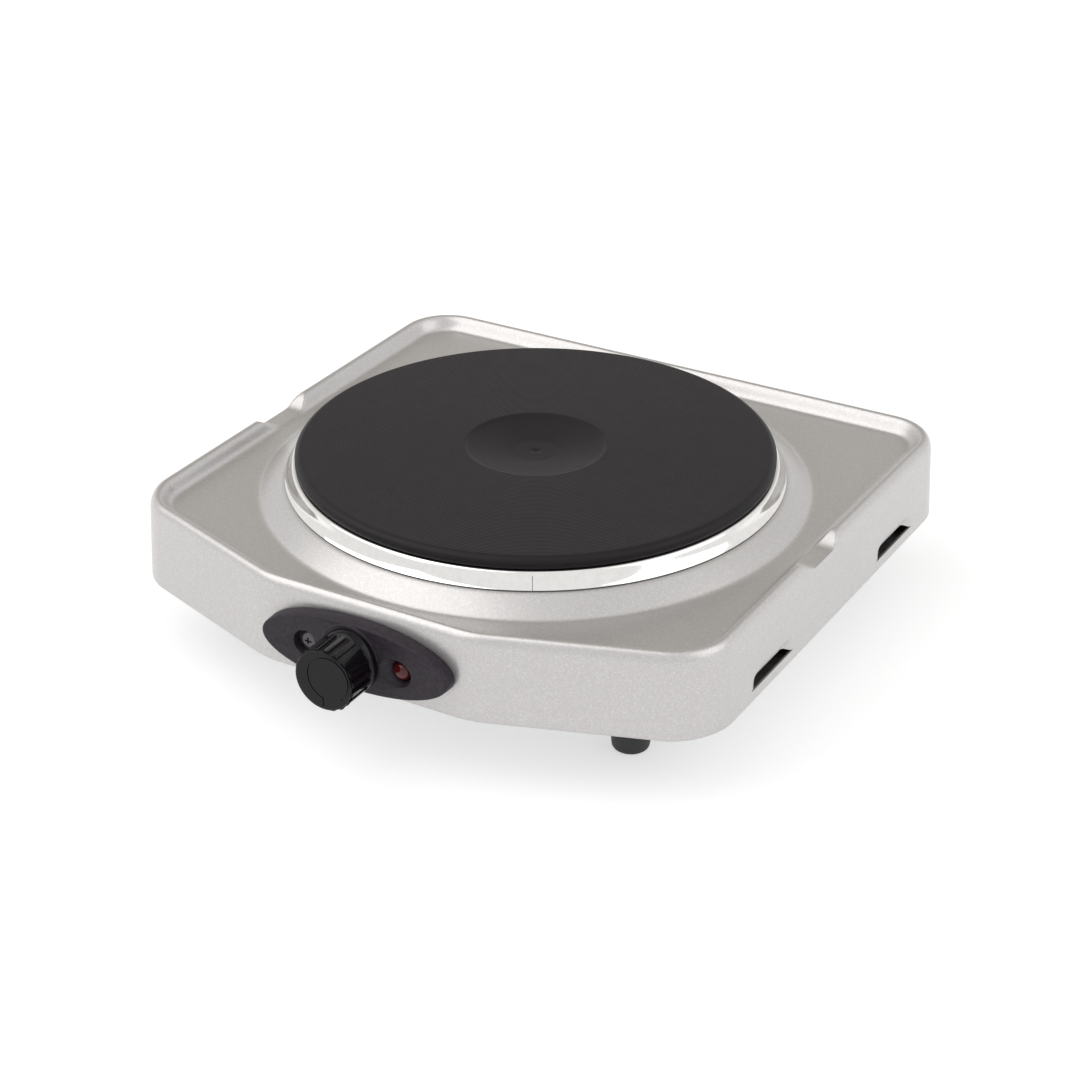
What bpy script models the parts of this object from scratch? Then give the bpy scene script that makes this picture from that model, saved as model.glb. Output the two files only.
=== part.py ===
# A free-standing single hot plate: a pressed steel housing with a cast iron plate clamped through it by one
# central stud, a vented base plate on four rubber feet, and a control panel with a rotary thermostat.
# +Z is up and the control knob faces -Y. The origin is at table level, at the middle of the footprint.
# Heights are given over a datum line, which stands STAND over the table.
import math

import bmesh
import bpy
from mathutils import Vector

MM = 0.001

# Driving dimensions, in millimetres and degrees.
STAND = 15.0                # the datum line's height over the table
# Housing
HOUSING_WIDTH = 240.8
HOUSING_DEPTH = 235.2
HOUSING_BOTTOM = 11.0       # the turned-in lip
SKIRT_START = 12.3          # where the lip's bend ends and the wall starts
SKIRT_TOP = 38.5            # where the wall ends and the rim's roll starts
RIM_HEIGHT = 44.3
RIM_WIDTH = 8.4             # from the wall's foot to the deck
RIM_ROLL = ((0.35, 0.5), (1.2, 0.85), (2.7, 1.0))   # (in from the wall's top, share of the roll's height)
RIM_CREST_WIDTH = 1.3
RIM_CREST_FALL = 0.4
DECK_BEND_WIDTH = 1.2       # the bend where the rim meets the deck
DECK_BEND_HEIGHT = 0.3
DECK_HEIGHT = 39.0
WALL_DRAFT = 1.2            # how far the wall leans in over its height
SHEET = 0.8                 # housing sheet thickness
LIP_WIDTH = 4.0
LIP_BEND = 1.3
FRONT_FACET_HALF = 42.2     # half the width of the flat front face
SIDE_SETBACK = 27.3         # how far back the slanted front faces meet the sides
BACK_CORNER_RADIUS = 22.0
SIDE_CORNER_RADIUS = 24.0
FACET_RADIUS = 30.0
CORNER_STEPS = 5
# Spill notches in the side rims, and the pressed vents under them
NOTCH_CENTRE = -1.0         # along Y from the plate's axis
NOTCH_TOP_WIDTH = 30.0
NOTCH_FLOOR_WIDTH = 16.0
NOTCH_DROP = 4.7            # below the rim
VENT_LENGTH = 33.5
VENT_STARTS = (-60.0, 47.0)  # along Y from the plate's axis
VENT_BOTTOM = 16.0
VENT_HEIGHT = 5.4
VENT_HOOD_DEPTH = 2.0       # how far a hood's free edge is pressed in
VENT_HOOD_RISE = 2.9        # and how far it stands over the slit
VENT_GORE = 7.0             # length of the sloping ends
# Boss that carries the plate
BOSS_FOOT_MARGIN = 14.6     # outside the plate's edge
BOSS_SHOULDER_MARGIN = 12.4
BOSS_SHOULDER_RISE = 0.9
BOSS_TOP_MARGIN = 4.8
BOSS_HEIGHT = 45.4
BOSS_EDGE = 1.2
BOSS_EDGE_FALL = 0.4
BOSS_HOLE_MARGIN = 2.5      # the boss's hole outside the plate's skirt
TURNED_STEPS = 56
DISC_STEPS = 36
# Cast iron plate
PLATE_RADIUS = 90.0
PLATE_FROM_FRONT = 118.5    # plate axis to the front face
PLATE_TOP = 56.0
PLATE_RIM = 4.2             # height of the black edge over the spill ring
PLATE_CHAMFER = 1.4
PLATE_OVERHANG = 6.0        # the plate's edge outside its skirt
PLATE_SKIRT_WALL = 3.5
PLATE_SKIRT_BOTTOM = 38.0
PLATE_THICKNESS = 7.5
RECESS_RADIUS = 26.5
RECESS_DEPTH = 3.0
RECESS_FLOOR_RADIUS = 8.75
RECESS_EDGE_WIDTH = 1.0
RECESS_EDGE_DEPTH = 0.7
HUB_RADIUS = 14.0
HUB_BOTTOM = 45.0
# Stainless spill ring
RING_SHEET = 0.7
RING_FLARE = 2.8            # how far its foot stands outside its shoulder
RING_MARGIN = 0.8           # its foot inside the boss's edge
RING_BEND_WIDTH = 0.8       # the bend from the flange to the flare
RING_BEND_HEIGHT = 0.5
# Heating element under the plate
COIL_RADIUS = 1.6
COIL_TURNS = 2.5
COIL_INNER = 24.0
COIL_MARGIN = 12.0          # inside the plate's skirt
BED_THICKNESS = 5.0
COVER_THICKNESS = 0.8
PIN_RADIUS = 1.2
PIN_DISTANCE = 40.0         # from the plate's axis
PIN_ANGLES = (-60.0, 120.0)
PIN_LENGTH = 11.0
# Central stud and what it clamps
STUD_RADIUS = 3.0
STUD_BOTTOM = 7.0
STUD_IN_PLATE = 1.0         # stud end over the plate's underside
BAR_WIDTH = 25.0
BAR_THICKNESS = 2.0
BAR_BOTTOM = 33.6
BAR_MARGIN = 8.0            # bar ends outside the plate's edge
NUT_ACROSS = 10.0
NUT_HEIGHT = 4.5
BASE_NUT_HEIGHT = 3.3
WASHER_RADIUS = 9.0
WASHER_THICKNESS = 1.2
SHIELD_MARGIN = 15.0        # inside the plate's edge
SHIELD_THICKNESS = 0.6
SHIELD_BOTTOM = 21.0
# Base plate and feet
BASE_SHEET = 1.0
SLOT_LENGTH = 34.0
SLOT_WIDTH = 4.5
SLOT_PITCH = 14.0
SLOT_ROW_OFFSET = 34.0      # row centres from the plate's axis, along X
SLOTS_PER_ROW = 7
FOOT_FROM_SIDE = 42.4
FOOT_FROM_SLANT = 36.1      # front feet, from the slanted front faces
FOOT_FROM_BACK = 42.0
FOOT_TOP_RADIUS = 9.0
FOOT_BOTTOM_RADIUS = 6.8
FOOT_ROUNDING = 1.5
FOOT_COUNTERBORE = 4.4
FOOT_COUNTERBORE_DEPTH = 19.0
FOOT_SCREW_RADIUS = 1.9
SCREW_HEAD_RADIUS = 3.7
SCREW_HEAD_HEIGHT = 2.2
FOOT_NUT_ACROSS = 7.0
FOOT_NUT_HEIGHT = 3.2
# Control panel, in the front face: X from the middle, Z over the datum line
PANEL_X = -1.4
PANEL_Z = 26.1
PANEL_HALF_WIDTH = 38.2
PANEL_HALF_HEIGHT = 13.3
PANEL_PROUD = 4.5
PANEL_BEVEL = 0.9
PANEL_DRAFT = 0.3
PANEL_STEPS = 44
PANEL_BOSS_RADIUS = 12.0    # round boss behind the knob
PANEL_BOSS_RISE = 0.9
PANEL_BOSS_SHIFT = (-1.2, 0.8)  # its middle from the knob's axis
KNOB_REACH = 22.5           # knob face in front of the housing
KNOB_RADIUS = 11.7
KNOB_RIB_DEPTH = 0.8
KNOB_RIBS = 18
KNOB_RIB_SHARES = ((0.0, False), (0.12, True), (0.48, True), (0.6, False))  # (share of a pitch, on the rib)
KNOB_STEP = 0.6             # from the collar to the ribs
KNOB_RIB_START = 0.4        # sloping start of the ribs
KNOB_EDGE_HEIGHT = 1.2
KNOB_EDGE_WIDTH = 0.8
KNOB_COLLAR_RADIUS = 11.7
KNOB_COLLAR_LENGTH = 3.2
SHAFT_RADIUS = 3.0
SHAFT_FLAT_SHARE = 0.73     # from the axis to the flat, as a share of the radius
SHAFT_TIP_SETBACK = 4.0     # shaft end behind the knob face
SHAFT_OVER = 0.5            # its other end behind the thermostat
LAMP_OFFSET = 18.9
LAMP_RADIUS = 3.4
LAMP_DROP = 1.0             # under the panel's middle
LAMP_SINK_OFFSET = 17.3     # middle of the oval mouth of the lamp's recess
LAMP_SINK_HALF_WIDTH = 6.6
LAMP_SINK_HALF_HEIGHT = 5.5
LAMP_SINK_DEPTH = 3.6
LAMP_PROUD = 3.9            # dome tip in front of the housing
LAMP_DOME = 2.6             # height of the dome
LENS_SEAT_DEPTH = 1.0       # how deep the lens sits in its holder
LAMP_BODY_LENGTH = 16.0
PANEL_SCREW_OFFSET = -19.4
PANEL_SCREW_RADIUS = 1.6
PANEL_SINK_RADIUS = 4.9
PANEL_SINK_DEPTH = 3.4
PANEL_HEAD_RADIUS = 3.5
PANEL_HEAD_HEIGHT = 1.5
BEZEL_SCREW_OVER = 4.0      # its end behind the bracket
# Thermostat behind the panel
BRACKET_HEIGHT = 17.0
BRACKET_THICKNESS = 1.2
BRACKET_MARGIN = 5.0        # its end past the screw
THERMOSTAT_WIDTH = 20.0
THERMOSTAT_HEIGHT = 15.0
THERMOSTAT_DEPTH = 14.0
BLADE_LENGTH = 18.0
BLADE_HEIGHT = 5.0
BLADE_THICKNESS = 0.5
BLADE_INSET = 1.0           # its end inside the thermostat's side
BLADE_GAP = 2.4             # room for the contact arm to swing
# Mains terminals and cord inlet at the back
TERMINAL_X = -50.0
TERMINAL_FROM_BACK = 34.0
TERMINAL_SIZE = (32.0, 16.0, 12.0)
TERMINAL_WAYS = 3
TERMINAL_PITCH = 9.5
TERMINAL_SCREW_RADIUS = 1.8
TERMINAL_SCREW_DEPTH = 7.0
TERMINAL_SCREW_SETBACK = 0.5
GLAND_X = -50.0
GLAND_Z = 25.5
GLAND_NECK_RADIUS = 7.0
GLAND_FLANGE_EDGE = 2.5     # flange outside the neck
GLAND_FLANGE = 2.4
GLAND_NOSE_RADIUS = 7.6
GLAND_OUT = 7.0             # how far the gland stands behind the housing
GLAND_BORE = 4.0            # takes a 7 to 8 mm cord
LEAD_RADIUS = 1.2
LEAD_END_GAP = 0.8          # from a lead's end to its terminal
LEAD_STRAIGHT = 6.0         # straight length at a terminal
LEAD_LIFT = 4.0             # over the base plate
LEAD_RISE = 7.0             # up to an element pin
LEAD_PAIR = 7.0             # between the two leads at the thermostat
EARTH_FROM_END = 8.0        # earth screw to the end of the clamp bar
EARTH_SCREW_LENGTH = 4.5
# Clearances
TOUCH = 0.3                 # between faces that meet
FIT = 0.3                   # round a shank, shaft or neck in its hole
OVERRUN = 1.0               # how far a drill runs past what it cuts

# Sizes and places that follow from them
PLATE_SKIRT_RADIUS = PLATE_RADIUS - PLATE_OVERHANG
BOSS_FOOT_RADIUS = PLATE_RADIUS + BOSS_FOOT_MARGIN
BOSS_SHOULDER_RADIUS = PLATE_RADIUS + BOSS_SHOULDER_MARGIN
BOSS_TOP_RADIUS = PLATE_RADIUS + BOSS_TOP_MARGIN
COIL_OUTER = PLATE_SKIRT_RADIUS - COIL_MARGIN
BAR_REACH = PLATE_RADIUS + BAR_MARGIN
SHIELD_RADIUS = PLATE_RADIUS - SHIELD_MARGIN
EARTH_X = EARTH_FROM_END - BAR_REACH
GLAND_FLANGE_RADIUS = GLAND_NECK_RADIUS + GLAND_FLANGE_EDGE
FRONT_Y = KNOB_REACH - (KNOB_REACH + HOUSING_DEPTH + GLAND_OUT) / 2
BACK_Y = FRONT_Y + HOUSING_DEPTH
PLATE_Y = FRONT_Y + PLATE_FROM_FRONT
HALF_WIDTH = HOUSING_WIDTH / 2
BASE_BOTTOM = HOUSING_BOTTOM + SHEET + TOUCH
BASE_TOP = BASE_BOTTOM + BASE_SHEET
PLATE_STEP = PLATE_TOP - PLATE_RIM
PLATE_UNDERSIDE = PLATE_TOP - PLATE_THICKNESS
BED_TOP = PLATE_UNDERSIDE - 2 * COIL_RADIUS - 2 * TOUCH
BED_BOTTOM = BED_TOP - BED_THICKNESS
COVER_BOTTOM = BED_BOTTOM - TOUCH - COVER_THICKNESS
NOTCH_FLOOR = RIM_HEIGHT - NOTCH_DROP
STUD_TOP = PLATE_UNDERSIDE + STUD_IN_PLATE
FOOT_X = HALF_WIDTH - FOOT_FROM_SIDE
PLATE_PLACE = (0.0, PLATE_Y, 0.0)
PANEL_PLACE = (PANEL_X, FRONT_Y, PANEL_Z)
BACK_OF_WALL = -(WALL_DRAFT + SHEET + TOUCH)        # behind the front wall, from the front face
LAMP_BODY_RADIUS = LAMP_RADIUS + 1.2
THERMOSTAT_BACK = BACK_OF_WALL - BRACKET_THICKNESS - TOUCH - THERMOSTAT_DEPTH


def make_material(name, colour, roughness, metallic=0.0):
    material = bpy.data.materials.new(name)
    material.use_nodes = True
    shader = material.node_tree.nodes["Principled BSDF"]
    shader.inputs["Base Color"].default_value = (*colour, 1.0)
    shader.inputs["Roughness"].default_value = roughness
    shader.inputs["Metallic"].default_value = metallic
    material.diffuse_color = (*colour, 1.0)
    return material


def make_object(name, bm, material, place=(0.0, 0.0, 0.0), faces_front=False):
    # Turns a bmesh drawn in millimetres into an object. A piece drawn along +Z that faces the front is
    # turned so that its +Z is the world's -Y.
    bmesh.ops.scale(bm, vec=(MM, MM, MM), verts=bm.verts)
    mesh = bpy.data.meshes.new(name)
    bm.to_mesh(mesh)
    bm.free()
    mesh.materials.append(material)
    mesh.shade_smooth()
    mesh.set_sharp_from_angle(angle=math.radians(32))
    piece = bpy.data.objects.new(name, mesh)
    bpy.context.scene.collection.objects.link(piece)
    piece.location = (Vector(place) + Vector((0.0, 0.0, STAND))) * MM
    if faces_front:
        piece.rotation_euler = (math.pi / 2, 0.0, 0.0)
    return piece


def add_turned(bm, profile, steps, centre=(0.0, 0.0)):
    # Spins a closed profile of (radius, height) points round a line along Z.
    x, y = centre
    verts = [bm.verts.new((x + radius, y, height)) for radius, height in profile]
    pairs = zip(verts, verts[1:] + verts[:1])
    edges = [bm.edges.new((a, b)) for a, b in pairs if a.co.x > x + 0.001 or b.co.x > x + 0.001]
    bmesh.ops.spin(bm, geom=verts + edges, cent=(x, y, 0), axis=(0, 0, 1), angle=2 * math.pi, steps=steps,
                   use_merge=True)
    bmesh.ops.remove_doubles(bm, verts=bm.verts, dist=0.01)
    bmesh.ops.recalc_face_normals(bm, faces=bm.faces)


def turned(name, profile, material, place, steps=TURNED_STEPS, faces_front=False):
    bm = bmesh.new()
    add_turned(bm, profile, steps)
    return make_object(name, bm, material, place, faces_front)


def add_prism(bm, outline, low, high):
    # A straight extrusion of a closed outline of (x, y) points.
    bottom = bm.faces.new([bm.verts.new((x, y, low)) for x, y in outline])
    top = bmesh.ops.extrude_face_region(bm, geom=[bottom])["geom"]
    top_verts = [item for item in top if isinstance(item, bmesh.types.BMVert)]
    bmesh.ops.translate(bm, vec=(0, 0, high - low), verts=top_verts)
    bmesh.ops.recalc_face_normals(bm, faces=bm.faces)


def prism(name, outline, low, high, material, place=(0.0, 0.0, 0.0), faces_front=False):
    bm = bmesh.new()
    add_prism(bm, outline, low, high)
    return make_object(name, bm, material, place, faces_front)


def circle(radius, steps, centre=(0.0, 0.0)):
    angles = [2 * math.pi * step / steps for step in range(steps)]
    return [(centre[0] + radius * math.cos(a), centre[1] + radius * math.sin(a)) for a in angles]


def rectangle(width, depth, centre=(0.0, 0.0)):
    x, y = width / 2, depth / 2
    return [(centre[0] + a, centre[1] + b) for a, b in ((-x, -y), (x, -y), (x, y), (-x, y))]


def hexagon(across):
    return circle(across / math.sqrt(3), 6)


def washer_profile(inner, outer, low, high):
    return [(outer, high), (outer, low), (inner, low), (inner, high)]


def combine(piece, bm, operation, place=(0.0, 0.0, 0.0), faces_front=False):
    # Adds the bodies of a bmesh to a piece, or takes them away.
    tool = make_object(piece.name + "_cutter", bm, piece.data.materials[0], place, faces_front)
    tool.hide_render = True
    tool.display_type = "WIRE"
    modifier = piece.modifiers.new("shape", "BOOLEAN")
    modifier.operation = operation
    modifier.solver = "EXACT"
    modifier.object = tool


def cut(piece, bm, place=(0.0, 0.0, 0.0), faces_front=False):
    combine(piece, bm, "DIFFERENCE", place, faces_front)


def drill(bm, radius, low, high, centre=(0.0, 0.0), steps=16):
    add_prism(bm, circle(radius, steps, centre), low, high)


def housing_corners():
    # The outline's corners with their radii, counter-clockwise from the front left.
    side_y = FRONT_Y + SIDE_SETBACK
    return [(-HALF_WIDTH, side_y, SIDE_CORNER_RADIUS), (-FRONT_FACET_HALF, FRONT_Y, FACET_RADIUS),
            (FRONT_FACET_HALF, FRONT_Y, FACET_RADIUS), (HALF_WIDTH, side_y, SIDE_CORNER_RADIUS),
            (HALF_WIDTH, BACK_Y, BACK_CORNER_RADIUS), (-HALF_WIDTH, BACK_Y, BACK_CORNER_RADIUS)]


def corner_arc(index, inset):
    corners = [Vector(corner[:2]) for corner in housing_corners()]
    radius = housing_corners()[index][2]
    here = corners[index]
    before = (here - corners[index - 1]).normalized()
    after = (corners[(index + 1) % len(corners)] - here).normalized()
    turn = math.atan2(before.x * after.y - before.y * after.x, before.dot(after))
    centre = here - before * radius * math.tan(turn / 2) + Vector((-before.y, before.x)) * radius
    start = math.atan2(-before.x, before.y)
    steps = CORNER_STEPS if abs(turn) > 1.0 else CORNER_STEPS - 2
    reach = radius - inset
    angles = [start + turn * step / steps for step in range(steps + 1)]
    return [(centre.x + reach * math.cos(angle), centre.y + reach * math.sin(angle)) for angle in angles]


def side_stations():
    # The places along a side where a vent or a notch needs points, front to back.
    vents = [PLATE_Y + start + end for start in VENT_STARTS for end in (0.0, VENT_LENGTH)]
    notch = PLATE_Y + NOTCH_CENTRE
    notches = [notch + side * width / 2 for side in (-1, 1) for width in (NOTCH_TOP_WIDTH, NOTCH_FLOOR_WIDTH)]
    return sorted(vents + notches)


def outline(inset, stations=()):
    points = [point for index in range(4) for point in corner_arc(index, inset)]
    points += [(HALF_WIDTH - inset, y) for y in stations]
    points += corner_arc(4, inset) + corner_arc(5, inset)
    points += [(inset - HALF_WIDTH, y) for y in reversed(stations)]
    return points


def wall_inset(height):
    return WALL_DRAFT * (height - SKIRT_START) / (SKIRT_TOP - SKIRT_START)


def housing_section():
    # The wall and rim from the lip's inner edge to the deck, as (inset, height).
    roll = RIM_HEIGHT - SKIRT_TOP
    vent_top = VENT_BOTTOM + VENT_HEIGHT
    return [(LIP_WIDTH, HOUSING_BOTTOM), (LIP_BEND, HOUSING_BOTTOM), (0.0, SKIRT_START),
            (wall_inset(VENT_BOTTOM), VENT_BOTTOM), (wall_inset(vent_top), vent_top),
            (WALL_DRAFT, SKIRT_TOP),
            *[(WALL_DRAFT + inset, SKIRT_TOP + share * roll) for inset, share in RIM_ROLL],
            (WALL_DRAFT + RIM_ROLL[-1][0] + RIM_CREST_WIDTH, RIM_HEIGHT - RIM_CREST_FALL),
            (RIM_WIDTH, DECK_HEIGHT + DECK_BEND_HEIGHT), (RIM_WIDTH + DECK_BEND_WIDTH, DECK_HEIGHT)]


def boss_section():
    # The raised boss from the deck to the edge of the plate's hole, as (radius, height).
    return [(BOSS_FOOT_RADIUS, DECK_HEIGHT), (BOSS_SHOULDER_RADIUS, DECK_HEIGHT + BOSS_SHOULDER_RISE),
            (BOSS_TOP_RADIUS, BOSS_HEIGHT - BOSS_EDGE_FALL), (BOSS_TOP_RADIUS - BOSS_EDGE, BOSS_HEIGHT),
            (PLATE_SKIRT_RADIUS + BOSS_HOLE_MARGIN, BOSS_HEIGHT)]


def boss_underside(radius):
    # Height of the sheet's lower face where the boss slopes.
    rise = BOSS_HEIGHT - BOSS_EDGE_FALL - DECK_HEIGHT - BOSS_SHOULDER_RISE
    run = BOSS_SHOULDER_RADIUS - BOSS_TOP_RADIUS
    height = DECK_HEIGHT + BOSS_SHOULDER_RISE + rise * (BOSS_SHOULDER_RADIUS - radius) / run
    return height - SHEET * math.hypot(rise, run) / run


def loop_edges(bm, loop):
    return [bm.edges.get((a, b)) for a, b in zip(loop, loop[1:] + loop[:1])]


def skin_row(bm, lower, upper, skipped=()):
    count = len(lower)
    for i in range(count):
        if i not in skipped:
            j = (i + 1) % count
            bm.faces.new((lower[i], lower[j], upper[j], upper[i]))


def press_hood(bm, slit, fold):
    # A vent's hood hangs from its fold, is pressed in, and closes against the slit's ends.
    edge = []
    for here, there in (slit, reversed(slit)):
        along = math.copysign(VENT_GORE, there.co.y - here.co.y)
        inward = math.copysign(VENT_HOOD_DEPTH, -here.co.x)
        edge.append(bm.verts.new((here.co.x + inward, here.co.y + along, here.co.z + VENT_HOOD_RISE)))
    bm.faces.new((edge[0], edge[1], fold[1], fold[0]))
    bm.faces.new((slit[0], edge[0], fold[0]))
    bm.faces.new((edge[1], slit[1], fold[1]))


def top_housing(material):
    bm = bmesh.new()
    stations = side_stations()
    notch_low = PLATE_Y + NOTCH_CENTRE - NOTCH_FLOOR_WIDTH / 2 - 0.01
    notch_high = notch_low + NOTCH_FLOOR_WIDTH + 0.02
    flat = outline(0.0, stations)
    in_notch = [abs(x) > HALF_WIDTH - 0.01 and notch_low < y < notch_high for x, y in flat]
    loops = []
    for inset, height in housing_section():
        loop = []
        for (x, y), lowered in zip(outline(inset, stations), in_notch):
            loop.append(bm.verts.new((x, y, min(height, NOTCH_FLOOR) if lowered else height)))
        loops.append(loop)
    starts = [PLATE_Y + start for start in VENT_STARTS]
    ends = [start + VENT_LENGTH for start in starts]
    vents = [i for i, (x, y) in enumerate(flat) if abs(x) > HALF_WIDTH - 0.01
             and any(abs(y - edge) < 0.01 for edge in (starts if x > 0 else ends))]
    vent_row = [height for inset, height in housing_section()].index(VENT_BOTTOM)
    for row, (lower, upper) in enumerate(zip(loops, loops[1:])):
        skin_row(bm, lower, upper, vents if row == vent_row else ())
    for i in vents:
        press_hood(bm, loops[vent_row][i:i + 2], loops[vent_row + 1][i:i + 2])
    rings = []
    for radius, height in boss_section():
        rings.append([bm.verts.new((x, PLATE_Y + y, height)) for x, y in circle(radius, TURNED_STEPS)])
    for lower, upper in zip(rings, rings[1:]):
        skin_row(bm, lower, upper)
    bmesh.ops.bridge_loops(bm, edges=loop_edges(bm, loops[-1]) + loop_edges(bm, rings[0]))
    bmesh.ops.recalc_face_normals(bm, faces=bm.faces)
    piece = make_object("top_housing", bm, material)
    shell = piece.modifiers.new("sheet", "SOLIDIFY")
    shell.thickness = SHEET * MM
    shell.offset = -1.0
    shell.use_even_offset = True
    holes = bmesh.new()
    through = (-WALL_DRAFT - 4 * SHEET, 2 * SHEET)
    for centre, radius in panel_holes():
        drill(holes, radius + FIT, *through, centre=centre)
    cut(piece, holes, PANEL_PLACE, faces_front=True)
    inlet = bmesh.new()
    drill(inlet, GLAND_NECK_RADIUS + FIT, -2 * SHEET, WALL_DRAFT + 4 * SHEET, steps=24)
    cut(piece, inlet, (GLAND_X, BACK_Y, GLAND_Z), faces_front=True)


def panel_holes():
    # What passes through the front wall, as (place in the panel, radius).
    return [((0.0, 0.0), SHAFT_RADIUS + FIT), ((LAMP_OFFSET, -LAMP_DROP), LAMP_RADIUS),
            ((PANEL_SCREW_OFFSET, 0.0), PANEL_SCREW_RADIUS)]


def cast_iron_plate(material):
    skirt_inside = PLATE_SKIRT_RADIUS - PLATE_SKIRT_WALL
    stud_hole = STUD_RADIUS + FIT
    profile = [(0.0, PLATE_TOP - RECESS_DEPTH), (RECESS_FLOOR_RADIUS, PLATE_TOP - RECESS_DEPTH),
               (RECESS_RADIUS - RECESS_EDGE_WIDTH, PLATE_TOP - RECESS_EDGE_DEPTH), (RECESS_RADIUS, PLATE_TOP),
               (PLATE_RADIUS - PLATE_CHAMFER, PLATE_TOP), (PLATE_RADIUS, PLATE_TOP - PLATE_CHAMFER),
               (PLATE_RADIUS, PLATE_STEP), (PLATE_SKIRT_RADIUS, PLATE_STEP),
               (PLATE_SKIRT_RADIUS, PLATE_SKIRT_BOTTOM), (skirt_inside, PLATE_SKIRT_BOTTOM),
               (skirt_inside, PLATE_UNDERSIDE), (HUB_RADIUS, PLATE_UNDERSIDE), (HUB_RADIUS, HUB_BOTTOM),
               (stud_hole, HUB_BOTTOM), (stud_hole, STUD_TOP + TOUCH), (0.0, STUD_TOP + TOUCH)]
    turned("cast_iron_plate", profile, material, PLATE_PLACE)


def trim_ring(material):
    # The polished ring lies on the boss and its flange is clamped under the plate's edge.
    foot = BOSS_HEIGHT + TOUCH
    flange = PLATE_STEP - TOUCH
    below = flange - RING_SHEET
    shoulder = BOSS_TOP_RADIUS - RING_MARGIN - RING_FLARE
    inner = PLATE_SKIRT_RADIUS + FIT
    profile = [(inner, flange), (shoulder - RING_BEND_WIDTH, flange), (shoulder, flange - RING_BEND_HEIGHT),
               (shoulder + RING_FLARE, foot), (shoulder + RING_FLARE - RING_SHEET, foot),
               (shoulder - RING_SHEET, below - RING_BEND_HEIGHT),
               (shoulder - RING_SHEET - RING_BEND_HEIGHT, below), (inner, below)]
    turned("trim_ring", profile, material, PLATE_PLACE)


def tube(name, points, radius, material):
    # A wire along a smooth curve through its points, with closed ends.
    curve = bpy.data.curves.new(name, "CURVE")
    curve.dimensions = "3D"
    curve.bevel_depth = radius * MM
    curve.bevel_resolution = 2
    curve.use_fill_caps = True
    spline = curve.splines.new("POLY")
    spline.points.add(len(points) - 1)
    for target, point in zip(spline.points, points):
        target.co = (*(Vector(point) * MM), 1.0)
    curve.materials.append(material)
    piece = bpy.data.objects.new(name, curve)
    piece.location.z = STAND * MM
    bpy.context.scene.collection.objects.link(piece)


def smooth_route(route, steps=3):
    # Points on a curve that passes through a route and turns evenly at each of its points.
    knots = [Vector(point) for point in route]
    before, after = knots[:1] + knots[:-1], knots[1:] + knots[-1:]
    headings = [(late - early).normalized() for early, late in zip(before, after)]
    points = []
    for start, end, leaving, arriving in zip(knots, knots[1:], headings, headings[1:]):
        length = (end - start).length
        for step in range(steps):
            t = step / steps
            points.append((2 * t ** 3 - 3 * t ** 2 + 1) * start + (3 * t ** 2 - 2 * t ** 3) * end
                          + length * ((t ** 3 - 2 * t ** 2 + t) * leaving + (t ** 3 - t ** 2) * arriving))
    return points + [knots[-1]]


def heating_element(wire, ceramic, sheet, metal):
    height = BED_TOP + TOUCH + COIL_RADIUS
    steps = round(COIL_TURNS * 18)
    spiral = []
    for step in range(steps + 1):
        radius = COIL_INNER + (COIL_OUTER - COIL_INNER) * step / steps
        angle = 2 * math.pi * COIL_TURNS * step / steps
        spiral.append((radius * math.cos(angle), PLATE_Y + radius * math.sin(angle), height))
    tube("heating_coil", spiral, COIL_RADIUS, wire)
    outer = PLATE_SKIRT_RADIUS - PLATE_SKIRT_WALL - FIT
    bed = turned("element_bed", washer_profile(HUB_RADIUS + FIT, outer, BED_BOTTOM, BED_TOP), ceramic,
                 PLATE_PLACE, DISC_STEPS)
    cover = turned("element_cover", washer_profile(STUD_RADIUS + FIT, outer, COVER_BOTTOM,
                                                   COVER_BOTTOM + COVER_THICKNESS), sheet, PLATE_PLACE,
                   DISC_STEPS)
    for piece in (bed, cover):
        holes = bmesh.new()
        for x, y in pin_centres():
            drill(holes, PIN_RADIUS + FIT, COVER_BOTTOM - OVERRUN, BED_TOP + OVERRUN, (x, y), 12)
        cut(piece, holes, PLATE_PLACE)
    for number, (x, y) in enumerate(pin_centres(), 1):
        pin_top = BED_TOP - TOUCH
        prism(f"element_pin_{number}", circle(PIN_RADIUS, 12), pin_top - PIN_LENGTH, pin_top, metal,
              (x, PLATE_Y + y, 0.0))


def pin_centres():
    angles = [math.radians(angle) for angle in PIN_ANGLES]
    return [(PIN_DISTANCE * math.cos(angle), PIN_DISTANCE * math.sin(angle)) for angle in angles]


def nut(name, bore, across, bottom, height, material, place):
    outer = hexagon(across)
    piece = prism(name, outer, bottom, bottom + height, material, place)
    hole = bmesh.new()
    drill(hole, bore + FIT, bottom - OVERRUN, bottom + height + OVERRUN, steps=12)
    cut(piece, hole, place)


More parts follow.
